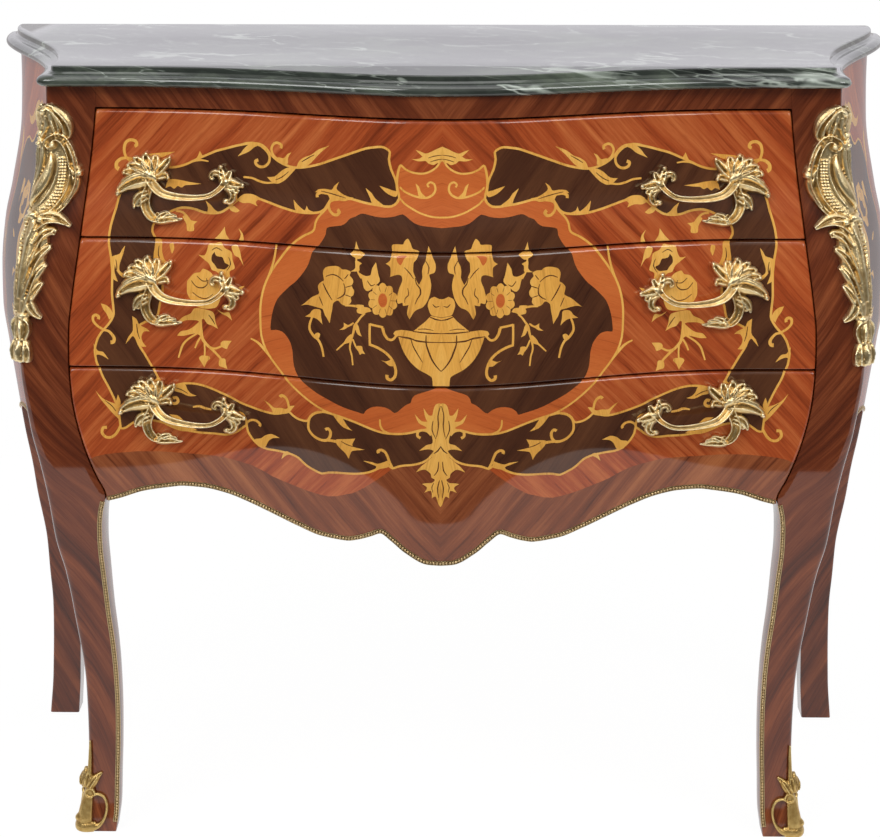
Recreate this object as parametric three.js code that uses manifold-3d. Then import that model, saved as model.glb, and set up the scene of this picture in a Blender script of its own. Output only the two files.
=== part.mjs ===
// A serpentine, swelling commode chest on cabriole legs: three drawers under a marble top,
// with cast brass pulls, corner mounts, sabots and beaded edge trims.
// Millimetres, +Z up, front towards -Y, +X to the right of someone who faces the front.
import * as THREE from 'three';
import { mergeVertices } from 'three/addons/utils/BufferGeometryUtils.js';
import Module from 'manifold-3d';

const wasm = await Module();
wasm.setup();

// Whole chest. Widths are half widths, measured from the middle of the chest.
const HEIGHT = 860;
const BELLY_HALF_WIDTH = 447;
const REAR_HALF_WIDTH = 533.5;
const BODY_DEPTH = 405;
const FRONT_SWELL = 40;
const BOW = 82;
const BOW_WIDTH_SHARE = 0.895;
const BOW_POWER = 1.8;
const SWEEP_POWER = 1.25;
const FIT = 0.3;
const OVERRUN = 4;

// Front profile at the corner: height share, forward share of FRONT_SWELL
const FRONT_PROFILE_SHARES = [
  [0, -0.075], [0.058, -0.3], [0.163, -0.5], [0.291, -0.3], [0.372, -0.075], [0.465, 0.25],
  [0.558, 0.55], [0.64, 0.7], [0.721, 0.59], [0.814, 0.28], [0.88, 0.04], [0.972, 0],
];
// Edge between front and side: height share, share of BELLY_HALF_WIDTH
const ARRIS_SHARES = [
  [0, 0.905], [0.055, 0.89], [0.12, 0.883], [0.197, 0.885], [0.3, 0.906], [0.356, 0.921],
  [0.4, 0.94], [0.457, 0.952], [0.504, 0.966], [0.554, 0.984], [0.642, 1], [0.721, 0.99],
  [0.814, 0.961], [0.88, 0.933], [0.949, 0.926], [0.972, 0.925],
];
// Inner edge of the front legs and stiles: height share, share of BELLY_HALF_WIDTH
const STILE_EDGE_SHARES = [
  [0, 0.812], [0.03, 0.8045], [0.07, 0.802], [0.11, 0.799], [0.17, 0.797], [0.215, 0.7984],
  [0.255, 0.8025], [0.3, 0.8105], [0.35, 0.817], [0.395, 0.822], [0.42, 0.821], [0.44, 0.8168],
  [0.4625, 0.8085], [0.489, 0.8283], [0.512, 0.8443], [0.539, 0.8592], [0.568, 0.871],
  [0.594, 0.8776], [0.637, 0.881], [0.683, 0.8787], [0.719, 0.87], [0.794, 0.848],
  [0.949, 0.8065], [0.972, 0.803],
];
// Outline of the side at the back: height share, share of REAR_HALF_WIDTH
const REAR_SHARES = [
  [0, 0.9295], [0.06, 0.9205], [0.171, 0.9145], [0.22, 0.9188], [0.266, 0.9222], [0.343, 0.9412],
  [0.384, 0.949], [0.436, 0.963], [0.534, 0.983], [0.573, 0.991], [0.624, 1], [0.677, 0.9985],
  [0.741, 0.987], [0.791, 0.968], [0.884, 0.942], [0.953, 0.938], [0.972, 0.938],
];

// Marble top
const MARBLE_THICKNESS = 20.5;
const MARBLE_FRONT_OVERHANG = 16;
const MARBLE_SIDE_OVERHANG = 7.5;
const MARBLE_REAR_SIDE_OVERHANG = 18.5;
const MARBLE_BOW = 73;
const MARBLE_NOSE = 17;
const MARBLE_BACK_OVERHANG = 12;
const MARBLE_CORNER_ROUND = 14;
// Moulded edge from the underside up: share of the thickness, inset share of MARBLE_NOSE
const MARBLE_EDGE_SHARES = [[0, 0.25], [0.2, 0], [0.5, 0.05], [0.6, 0.5], [0.68, 0.78], [0.85, 0.8], [1, 0.95]];

// Carcass
const FRONT_POST_BACK = 62;
const REAR_POST_DEPTH = 50;
const REAR_POST_WIDTH = 52;
const ARRIS_BEVEL = 3;
const SIDE_THICKNESS = 18;
const BOARD_THICKNESS = 10;
const BOARD_SETBACK = 1.5;
const BACK_THICKNESS = 8;
const BACK_RECESS = 12;
const BACK_BOTTOM_SHARE = 0.4675;
const GUIDE_HEIGHT = 12;
const GUIDE_WIDTH = 12;
const GUIDE_CLEARANCE = 1;
const GUIDE_SETBACK = 33;
const TOP_BOARD_THICKNESS = 15;
// Back face of a front leg: height share, share of FRONT_POST_BACK
const LEG_BACK_SHARES = [
  [0, 0.58], [0.058, 0.71], [0.163, 0.82], [0.291, 0.81], [0.349, 0.84], [0.407, 0.9],
  [0.465, 1], [0.972, 1],
];
// Size of a rear leg: height share, share of REAR_POST_WIDTH and of REAR_POST_DEPTH
const REAR_LEG_SHARES = [[0, 0.75], [0.07, 0.72], [0.171, 0.7], [0.3, 0.74], [0.4, 0.86], [0.48, 1], [0.972, 1]];
// Lower edge of a side: share of its length, height share
const SIDE_EDGE_SHARES = [
  [0, 0.467], [0.12, 0.482], [0.28, 0.489], [0.4, 0.479], [0.5, 0.468], [0.6, 0.479],
  [0.72, 0.489], [0.88, 0.482], [1, 0.467],
];

// Drawers, from the top one down. A line is the middle of the gap over a drawer, in height shares.
const DRAWER_NAMES = ['top', 'middle', 'bottom'];
const DRAWER_LINE_SHARES = [0.9494, 0.7936, 0.6349];
const DRAWER_GAP = 2;
const DRAWER_SIDE_GAP = 1;
const DRAWER_FRONT_THICKNESS = 22;
const DRAWER_BOX_CLEARANCE = 15;
const DRAWER_BOARD_THICKNESS = 11;
const DRAWER_BASE_THICKNESS = 6;
const DRAWER_BASE_RAISE = 8;
const DRAWER_HEADROOM = 10;
const DRAWER_BACK_GAP = 20;
const BOTTOM_BOARD_SHARE = 0.5058;
// Scalloped lower edge of the bottom drawer: share of the half width, height share
const APRON_SHARES = [
  [0, 0.402], [0.035, 0.403], [0.1, 0.418], [0.137, 0.4316], [0.173, 0.442], [0.206, 0.4365],
  [0.24, 0.431], [0.274, 0.4278], [0.344, 0.43], [0.417, 0.4398], [0.492, 0.4525], [0.566, 0.465],
  [0.634, 0.4745], [0.703, 0.4795], [0.76, 0.4803], [0.811, 0.4775], [0.887, 0.4715], [0.96, 0.461],
  [1, 0.4565],
];

// Cast pulls. The span is the distance between the two feet, and shares are of the span.
const HANDLE_SPAN = 77;
const HANDLE_WIDTH_SHARE = 0.6846;
const HANDLE_HEIGHT_SHARES = [0.8674, 0.7442, 0.5977];
const HANDLE_STAND_OFF = 23;
const HANDLE_BAR_RADIUS = 3.5;
const HANDLE_LEAF_RISE = 11;
const HANDLE_STEM_RADIUS = 4;
const BOLT_RADIUS = 2.5;
const BOLT_HEAD_RADIUS = 5.5;
const BOLT_HEAD_THICKNESS = 3;
const BOLT_CLEARANCE = 0.4;
const BOLT_SIDE_COUNT = 10;
const CLUSTER_SHARES = [
  [-0.43, -0.2], [-0.29, 0.04], [-0.16, 0.2], [-0.01, 0.34], [0.12, 0.33], [0.31, 0.26],
  [0.22, 0.1], [0.24, -0.05], [0.12, -0.1], [-0.13, -0.11], [-0.27, -0.23], [-0.38, -0.27],
];
const FINIAL_SHARES = [
  [0.83, 0.05], [0.92, 0.13], [1.02, 0.16], [1.1, 0.08], [1.14, 0.0], [1.27, -0.07],
  [1.17, -0.16], [1.15, -0.31], [1.04, -0.29], [1.01, -0.18], [0.92, -0.08],
];
const CURL_SHARES = [
  [0.1, -0.62], [0.17, -0.53], [0.27, -0.5], [0.37, -0.52], [0.47, -0.56], [0.36, -0.62], [0.2, -0.66],
];
const SPRIG_SHARES = [[-0.06, -0.24], [-0.2, -0.32], [-0.34, -0.44], [-0.28, -0.55], [-0.17, -0.48], [-0.03, -0.4]];
// Bar of a pull: place along and up in shares of the span, share of the stand-off
const BAR_SHARES = [
  [0.02, 0.05, 0.35], [0.08, -0.14, 0.75], [0.2, -0.26, 0.95], [0.38, -0.3, 1], [0.58, -0.3, 1],
  [0.77, -0.26, 0.95], [0.9, -0.19, 0.8], [0.99, -0.08, 0.55], [1.04, 0.02, 0.35],
];
const STEM_SHARES = [
  [-0.02, -0.06, 0.3], [-0.05, -0.25, 0.42], [-0.06, -0.42, 0.4], [0.0, -0.56, 0.33], [0.13, -0.6, 0.25],
];

// Cast corner mounts over the arris, from the foot of the leaf up
const MOUNT_END_SHARES = [0.643, 0.958];
const MOUNT_WIDTH = 40;
const MOUNT_SIDE_WIDTH = 24;
const MOUNT_RISE = 9;
// Height share of the mount, then shares of front width, side width and rise
const MOUNT_SHARES = [
  [0, 0.22, 0.2, 0.5], [0.05, 0.38, 0.4, 0.75], [0.1, 0.34, 0.4, 0.7], [0.16, 0.4, 0.45, 0.8],
  [0.2, 0.56, 0.6, 0.75], [0.27, 0.44, 0.6, 0.8], [0.35, 0.52, 0.75, 0.85], [0.45, 0.62, 0.85, 0.9],
  [0.52, 0.95, 0.9, 0.9], [0.57, 0.64, 0.7, 0.85], [0.63, 0.8, 0.8, 1], [0.7, 0.92, 0.9, 1],
  [0.76, 1, 0.9, 1], [0.83, 0.72, 0.85, 0.95], [0.91, 0.6, 0.7, 0.9], [0.97, 0.45, 0.5, 0.8], [1, 0.2, 0.2, 0.5],
];

// Cast sabots round the front feet
const SABOT_HEIGHT = 105;
const SABOT_WIDTH = 27;
const SABOT_RISE = 6;
const SABOT_SHARES = [
  [0, 1, 1, 1], [0.12, 0.96, 0.95, 0.95], [0.2, 0.8, 0.85, 0.75], [0.28, 0.76, 0.8, 0.7],
  [0.45, 0.7, 0.75, 0.7], [0.6, 0.55, 0.6, 0.7], [0.75, 0.42, 0.42, 0.65], [0.9, 0.3, 0.3, 0.6], [1, 0.12, 0.12, 0.4],
];

// Beaded brass trims
const TRIM_WIDTH = 5;
const TRIM_RISE = 2.2;
const LEG_TRIM_BOTTOM = 22;

// Counts
const LEVEL_COUNT = 32;
const PANEL_COLUMN_COUNT = 12;
const PANEL_ROW_COUNT = 12;
const FRONT_COLUMN_COUNT = 28;
const BOARD_COLUMN_COUNT = 26;
const FACE_STEP_COUNT = 3;
const BAR_STEP_COUNT = 14;
const STEM_STEP_COUNT = 6;
const BAR_SIDE_COUNT = 7;

const FINISHES = {
  kingwood: { color: 0x9c4a26, roughness: 0.25, metalness: 0 },
  palisander: { color: 0x5e2f20, roughness: 0.25, metalness: 0 },
  pine: { color: 0xc49a66, roughness: 0.75, metalness: 0 },
  marble: { color: 0x2c3a36, roughness: 0.15, metalness: 0 },
  brass: { color: 0xb59a4f, roughness: 0.35, metalness: 1 },
  steel: { color: 0x8d8d8a, roughness: 0.4, metalness: 1 },
};

// A smooth curve through rows of [place, value] that never swings past its rows
function faired(rows, column = 1) {
  const last = rows.length - 1;
  const steps = [];
  for (let i = 0; i < last; i += 1) {
    steps.push((rows[i + 1][column] - rows[i][column]) / (rows[i + 1][0] - rows[i][0]));
  }
  const slopes = rows.map((row, i) => {
    const before = steps[Math.max(i - 1, 0)];
    const after = steps[Math.min(i, last - 1)];
    return before * after > 0 ? (2 * before * after) / (before + after) : 0;
  });
  return (place) => {
    const at = Math.min(Math.max(place, rows[0][0]), rows[last][0]);
    let i = 0;
    while (i < last - 1 && at > rows[i + 1][0]) i += 1;
    const span = rows[i + 1][0] - rows[i][0];
    const t = (at - rows[i][0]) / span;
    const ease = t * t * (3 - 2 * t);
    const blend = rows[i][column] * (1 - ease) + rows[i + 1][column] * ease;
    const lead = t * (1 - t) * (1 - t) * slopes[i] - t * t * (1 - t) * slopes[i + 1];
    return blend + lead * span;
  };
}

const frontProfile = faired(FRONT_PROFILE_SHARES);
const arrisProfile = faired(ARRIS_SHARES);
const stileProfile = faired(STILE_EDGE_SHARES);
const rearProfile = faired(REAR_SHARES);
const legBackProfile = faired(LEG_BACK_SHARES);
const rearLegProfile = faired(REAR_LEG_SHARES);
const sideEdgeProfile = faired(SIDE_EDGE_SHARES);
const apronProfile = faired(APRON_SHARES);

const spread = (from, to, count) => Array.from({ length: count + 1 }, (_, i) => from + ((to - from) * i) / count);
const midpoint = (a, b) => (a + b) / 2;

// Every upright piece shares one set of levels, so that neighbours have the same facets
const bodyTop = HEIGHT - MARBLE_THICKNESS - FIT;
const levels = spread(0, bodyTop, LEVEL_COUNT);
function byLevel(curve) {
  const values = levels.map(curve);
  return (z) => {
    const place = LEVEL_COUNT * Math.min(Math.max(z / bodyTop, 0), 1);
    const below = Math.min(Math.floor(place), LEVEL_COUNT - 1);
    return values[below] + (values[below + 1] - values[below]) * (place - below);
  };
}
const levelsBetween = (bottom, top) => [bottom, ...levels.filter((z) => z > bottom + FIT && z < top - FIT), top];

// Outside surfaces of the body
const cornerY = byLevel((z) => -FRONT_SWELL * frontProfile(z / HEIGHT));
const bowEnd = BELLY_HALF_WIDTH * BOW_WIDTH_SHARE;
const bowShare = (x) => ((1 + Math.cos(Math.PI * Math.min(Math.abs(x) / bowEnd, 1))) / 2) ** BOW_POWER;
const frontY = (x, z) => cornerY(z) - BOW * bowShare(x);
const arrisX = byLevel((z) => BELLY_HALF_WIDTH * arrisProfile(z / HEIGHT));
const stileX = byLevel((z) => BELLY_HALF_WIDTH * stileProfile(z / HEIGHT));
const rearX = byLevel((z) => REAR_HALF_WIDTH * rearProfile(z / HEIGHT));
const postX = (z) => stileX(z) + DRAWER_SIDE_GAP;

function sweep(share) {
  const bent = Math.min(Math.max(share, 0), 1) ** SWEEP_POWER;
  return bent * bent * (3 - 2 * bent);
}

function sideX(y, z) {
  const front = cornerY(z);
  return arrisX(z) + (rearX(z) - arrisX(z)) * sweep((y - front) / (BODY_DEPTH - front));
}

// Closed solid from points and triangles, turned so that its faces point out
function closedSolid(points, triangles) {
  const volume = triangles.reduce((sum, [a, b, c]) => {
    return sum + points[a].dot(new THREE.Vector3().crossVectors(points[b], points[c]));
  }, 0);
  const turned = volume < 0 ? triangles.map(([a, b, c]) => [a, c, b]) : triangles;
  const geometry = new THREE.BufferGeometry().setFromPoints(points);
  geometry.setIndex(turned.flat());
  geometry.computeVertexNormals();
  return geometry;
}

// Triangles that close a ring of points, all turned the way the ring runs
function capTriangles(ring) {
  const normal = new THREE.Vector3();
  ring.forEach((point, i) => {
    normal.add(new THREE.Vector3().crossVectors(point, ring[(i + 1) % ring.length]));
  });
  const axes = [Math.abs(normal.x), Math.abs(normal.y), Math.abs(normal.z)];
  const main = axes.indexOf(Math.max(...axes));
  const flat = ring.map((p) => {
    const [x, y, z] = [p.x, p.y, p.z];
    return [new THREE.Vector2(y, z), new THREE.Vector2(z, x), new THREE.Vector2(x, y)][main];
  });
  return THREE.ShapeUtils.triangulateShape(flat, []).map(([a, b, c]) => {
    const edge = flat[b].clone().sub(flat[a]);
    const facing = edge.cross(flat[c].clone().sub(flat[a]));
    return facing * normal.getComponent(main) > 0 ? [a, b, c] : [a, c, b];
  });
}

// Triangles that close a ring made of a front row and, back again, a rear row of points
function ladderTriangles(ring) {
  const last = ring.length - 1;
  const rungs = ring.slice(0, ring.length / 2 - 1);
  return rungs.flatMap((_, i) => [[i, i + 1, last - i - 1], [i, last - i - 1, last - i]]);
}

// Solid through a row of rings with the same number of points, closed at both ends
function loft(rings, close = capTriangles) {
  const count = rings[0].length;
  const points = rings.flat();
  const triangles = [];
  for (let k = 0; k < rings.length - 1; k += 1) {
    for (let i = 0; i < count; i += 1) {
      const next = (i + 1) % count;
      const [a, b, c, d] = [k * count + i, k * count + next, (k + 1) * count + next, (k + 1) * count + i];
      triangles.push([a, b, c], [a, c, d]);
    }
  }
  const end = (rings.length - 1) * count;
  close(rings[0]).forEach(([a, b, c]) => triangles.push([a, c, b]));
  close(rings[rings.length - 1]).forEach(([a, b, c]) => triangles.push([end + a, end + b, end + c]));
  return closedSolid(points, triangles);
}

function block(x0, x1, y0, y1, z0, z1) {
  const geometry = new THREE.BoxGeometry(x1 - x0, y1 - y0, z1 - z0);
  return geometry.translate(midpoint(x0, x1), midpoint(y0, y1), midpoint(z0, z1));
}

function mirrored(geometry) {
  const copy = geometry.clone().applyMatrix4(new THREE.Matrix4().makeScale(-1, 1, 1));
  const index = copy.index.array;
  for (let i = 0; i < index.length; i += 3) {
    [index[i + 1], index[i + 2]] = [index[i + 2], index[i + 1]];
  }
  copy.computeVertexNormals();
  return copy;
}

function toManifold(geometry) {
  const bare = geometry.clone();
  bare.deleteAttribute('normal');
  bare.deleteAttribute('uv');
  const merged = mergeVertices(bare);
  return new wasm.Manifold(new wasm.Mesh({
    numProp: 3,
    vertProperties: new Float32Array(merged.attributes.position.array),
    triVerts: new Uint32Array(merged.index.array),
  }));
}

function fromManifold(manifold) {
  const mesh = manifold.getMesh();
  const geometry = new THREE.BufferGeometry();
  geometry.setAttribute('position', new THREE.Float32BufferAttribute(mesh.vertProperties, 3));
  geometry.setIndex(new THREE.Uint32BufferAttribute(mesh.triVerts, 1));
  geometry.computeVertexNormals();
  return geometry;
}

const cut = (geometry, tools) => fromManifold(
  tools.reduce((body, tool) => body.subtract(toManifold(tool)), toManifold(geometry)),
);
const join = (pieces) => fromManifold(
  pieces.slice(1).reduce((body, piece) => body.add(toManifold(piece)), toManifold(pieces[0])),
);

const model = new THREE.Group();
const carcass = new THREE.Group();
model.add(carcass);

function addPiece(group, name, geometry, finish) {
  const mesh = new THREE.Mesh(geometry, new THREE.MeshStandardMaterial(FINISHES[finish]));
  mesh.name = name;
  group.add(mesh);
  return mesh;
}

function addPair(group, name, geometry, finish) {
  addPiece(group, `${name}_right`, geometry, finish);
  addPiece(group, `${name}_left`, mirrored(geometry), finish);
}

// Marble slab with a moulded edge and swept sides
function marbleRing(z, inset) {
  const front = cornerY(bodyTop) - MARBLE_FRONT_OVERHANG + inset;
  const back = BODY_DEPTH + MARBLE_BACK_OVERHANG;
  const corner = arrisX(bodyTop) + MARBLE_SIDE_OVERHANG - inset;
  const rear = rearX(bodyTop) + MARBLE_REAR_SIDE_OVERHANG - inset;
  const half = [];
  spread(0, corner - MARBLE_CORNER_ROUND, FRONT_COLUMN_COUNT / 2).forEach((x) => {
    half.push([x, front - MARBLE_BOW * bowShare(x)]);
  });
  spread(0, 1, PANEL_COLUMN_COUNT).forEach((share) => {
    const y = front + MARBLE_CORNER_ROUND + (back - MARBLE_CORNER_ROUND - front - MARBLE_CORNER_ROUND) * share;
    half.push([corner + (rear - corner) * sweep(share), y]);
  });
  half.push([rear - MARBLE_CORNER_ROUND, back]);
  const right = half.map(([x, y]) => new THREE.Vector3(x, y, z));
  const left = half.slice(1).reverse().map(([x, y]) => new THREE.Vector3(-x, y, z));
  return right.concat(left);
}
addPiece(carcass, 'marble_top', loft(MARBLE_EDGE_SHARES.map(([rise, inset]) => {
  return marbleRing(HEIGHT - MARBLE_THICKNESS * (1 - rise), MARBLE_NOSE * inset);
})), 'marble');

// Front legs: stile and cabriole leg in one, from the floor to the marble
function frontLegRing(z) {
  const inner = postX(z);
  const arris = arrisX(z);
  const corner = cornerY(z);
  const back = FRONT_POST_BACK * legBackProfile(z / HEIGHT);
  const face = spread(inner, arris - ARRIS_BEVEL, FACE_STEP_COUNT).map((x) => new THREE.Vector3(x, frontY(x, z), z));
  const side = spread(corner + ARRIS_BEVEL, back, FACE_STEP_COUNT).map((y) => new THREE.Vector3(sideX(y, z), y, z));
  return [...face, ...side, new THREE.Vector3(inner, back, z)];
}
const frontLeg = loft(levels.map(frontLegRing));
addPair(carcass, 'front_leg', frontLeg, 'kingwood');

// Rear legs: square at the back, to stand against a wall
const rearLegSize = byLevel((z) => rearLegProfile(z / HEIGHT));
const rearInnerX = (z) => rearX(z) - REAR_POST_WIDTH * rearLegSize(z);
function rearLegRing(z) {
  const front = BODY_DEPTH - REAR_POST_DEPTH * rearLegSize(z);
  const inner = rearInnerX(z);
  const side = spread(front, BODY_DEPTH, FACE_STEP_COUNT).map((y) => new THREE.Vector3(sideX(y, z), y, z));
  return [new THREE.Vector3(inner, front, z), ...side, new THREE.Vector3(inner, BODY_DEPTH, z)];
}
addPair(carcass, 'rear_leg', loft(levels.map(rearLegRing)), 'kingwood');

// Swept sides between the legs, with a scalloped lower edge
const sideFront = FRONT_POST_BACK + FIT;
const sideBack = BODY_DEPTH - REAR_POST_DEPTH - FIT;
const sideStations = spread(0, 1, PANEL_COLUMN_COUNT);
const sideBottom = (share) => HEIGHT * sideEdgeProfile(share);
function sideSection(share) {
  const y = sideFront + (sideBack - sideFront) * share;
  const heights = spread(sideBottom(share), bodyTop, PANEL_ROW_COUNT);
  const outside = heights.map((z) => new THREE.Vector3(sideX(y, z), y, z));
  const inside = heights.reverse().map((z) => new THREE.Vector3(sideX(y, z) - SIDE_THICKNESS, y, z));
  return [...outside, ...inside];
}
addPair(carcass, 'side_panel', loft(sideStations.map(sideSection), ladderTriangles), 'kingwood');

// Frieze rail over the drawers
function frontSection(share, heights, reach) {
  const outside = heights.map((z) => {
    const x = share * reach(z);
    return new THREE.Vector3(x, frontY(x, z), z);
  });
  const inside = outside.map((p) => new THREE.Vector3(p.x, p.y + DRAWER_FRONT_THICKNESS, p.z)).reverse();
  return [...outside, ...inside];
}
const frontStations = spread(-1, 1, FRONT_COLUMN_COUNT);
const drawerLines = DRAWER_LINE_SHARES.map((share) => HEIGHT * share);
const friezeReach = (z) => postX(z) - FIT;
const halfGap = DRAWER_GAP / 2;
addPiece(carcass, 'frieze_rail', loft(frontStations.map((share) => {
  return frontSection(share, levelsBetween(drawerLines[0] + halfGap, bodyTop), friezeReach);
}), ladderTriangles), 'palisander');

// Flat boards between the front legs: top, two dust boards and the bottom board
const backFace = BODY_DEPTH - BACK_RECESS - BACK_THICKNESS;
function carcassBoard(bottom, thickness) {
  const top = bottom + thickness;
  const heights = [bottom, midpoint(bottom, top), top];
  const half = Math.min(...heights.map(postX)) - FIT;
  const front = (x) => Math.max(...heights.map((z) => frontY(x, z))) + DRAWER_FRONT_THICKNESS + BOARD_SETBACK;
  const ring = (z) => [
    ...spread(-half, half, BOARD_COLUMN_COUNT).map((x) => new THREE.Vector3(x, front(x), z)),
    new THREE.Vector3(half, backFace - FIT, z),
    new THREE.Vector3(-half, backFace - FIT, z),
  ];
  return loft([ring(bottom), ring(top)]);
}
const boardTops = [
  drawerLines[1] + midpoint(0, BOARD_THICKNESS),
  drawerLines[2] + midpoint(0, BOARD_THICKNESS),
  HEIGHT * BOTTOM_BOARD_SHARE,
];
addPiece(carcass, 'top_board', carcassBoard(bodyTop - TOP_BOARD_THICKNESS, TOP_BOARD_THICKNESS), 'pine');
['dust_board_upper', 'dust_board_lower', 'bottom_board'].forEach((name, i) => {
  addPiece(carcass, name, carcassBoard(boardTops[i] - BOARD_THICKNESS, BOARD_THICKNESS), 'pine');
});

// Back panel between the rear legs
const backReach = (z) => rearInnerX(z) - FIT;
addPiece(carcass, 'back_panel', loft(levelsBetween(HEIGHT * BACK_BOTTOM_SHARE, bodyTop).map((z) => [
  new THREE.Vector3(-backReach(z), backFace, z),
  new THREE.Vector3(backReach(z), backFace, z),
  new THREE.Vector3(backReach(z), backFace + BACK_THICKNESS, z),
  new THREE.Vector3(-backReach(z), backFace + BACK_THICKNESS, z),
])), 'pine');

// Guide strips that keep each drawer box straight
const boxHalfWidth = Math.min(...levelsBetween(boardTops[2], drawerLines[0]).map(postX)) - DRAWER_BOX_CLEARANCE;
boardTops.forEach((top, i) => {
  const inner = boxHalfWidth + GUIDE_CLEARANCE;
  const strip = block(
    inner, inner + GUIDE_WIDTH, FRONT_POST_BACK + GUIDE_SETBACK, backFace - FIT, top + FIT, top + FIT + GUIDE_HEIGHT,
  );
  addPair(carcass, `guide_${DRAWER_NAMES[i]}`, strip, 'pine');
});

// One cast pull for the right side, on a drawer whose front solid is given
const handleX = BELLY_HALF_WIDTH * HANDLE_WIDTH_SHARE;
const handleHeights = HANDLE_HEIGHT_SHARES.map((share) => HEIGHT * share);
function pullPoint(level, along, up, rise) {
  const x = handleX - HANDLE_SPAN * along;
  const z = handleHeights[level] + HANDLE_SPAN * up;
  return new THREE.Vector3(x, frontY(x, z) - rise, z);
}
function castLeaf(level, outline) {
  const centre = outline.reduce((sum, [x, z]) => [sum[0] + x / outline.length, sum[1] + z / outline.length], [0, 0]);
  const ring = (size, rise) => outline.map(([x, z]) => {
    return pullPoint(level, centre[0] + (x - centre[0]) * size, centre[1] + (z - centre[1]) * size, rise);
  });
  return loft([
    ring(1, -OVERRUN), ring(1, midpoint(0, HANDLE_LEAF_RISE)), ring(midpoint(0, 1), HANDLE_LEAF_RISE),
  ]);
}
function roundSection(radius, sides) {
  const angles = spread(0, 2 * Math.PI, sides).slice(1);
  return new THREE.Shape(angles.map((a) => new THREE.Vector2(radius * Math.cos(a), radius * Math.sin(a))));
}
function castBar(level, rows, radius, steps) {
  const points = rows.map(([along, up, rise]) => pullPoint(level, along, up, rise * HANDLE_STAND_OFF));
  return new THREE.ExtrudeGeometry(roundSection(radius, BAR_SIDE_COUNT), {
    steps, extrudePath: new THREE.CatmullRomCurve3(points), bevelEnabled: false,
  });
}
function castPull(level, seat) {
  const whole = join([
    castBar(level, BAR_SHARES, HANDLE_BAR_RADIUS, BAR_STEP_COUNT),
    castBar(level, STEM_SHARES, HANDLE_STEM_RADIUS, STEM_STEP_COUNT),
    castLeaf(level, CLUSTER_SHARES),
    castLeaf(level, FINIAL_SHARES),
    castLeaf(level, CURL_SHARES),
    castLeaf(level, SPRIG_SHARES),
  ]);
  return cut(whole, [seat.clone().translate(0, -FIT, 0)]);
}

// Bolt from inside the drawer, its head against the back of the front
function boltLength(level) {
  const reach = [-BOLT_HEAD_RADIUS, 0, BOLT_HEAD_RADIUS];
  const around = reach.flatMap((x) => reach.map((z) => frontY(handleX + x, handleHeights[level] + z)));
  return { tip: Math.max(...around), seat: Math.max(...around) + DRAWER_FRONT_THICKNESS + FIT };
}
function boltSolid(level) {
  const { tip, seat } = boltLength(level);
  const profile = [
    [0, 0], [BOLT_RADIUS, 0], [BOLT_RADIUS, seat - tip], [BOLT_HEAD_RADIUS, seat - tip],
    [BOLT_HEAD_RADIUS, seat - tip + BOLT_HEAD_THICKNESS], [0, seat - tip + BOLT_HEAD_THICKNESS],
  ].map(([r, y]) => new THREE.Vector2(r, y));
  return new THREE.LatheGeometry(profile, BOLT_SIDE_COUNT).translate(handleX, tip, handleHeights[level]);
}
function boltHole(level) {
  const radius = BOLT_RADIUS + BOLT_CLEARANCE;
  const length = DRAWER_FRONT_THICKNESS + OVERRUN + OVERRUN;
  const middle = frontY(handleX, handleHeights[level]) + midpoint(0, DRAWER_FRONT_THICKNESS);
  return new THREE.CylinderGeometry(radius, radius, length, BOLT_SIDE_COUNT)
    .translate(handleX, middle, handleHeights[level]);
}

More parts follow.
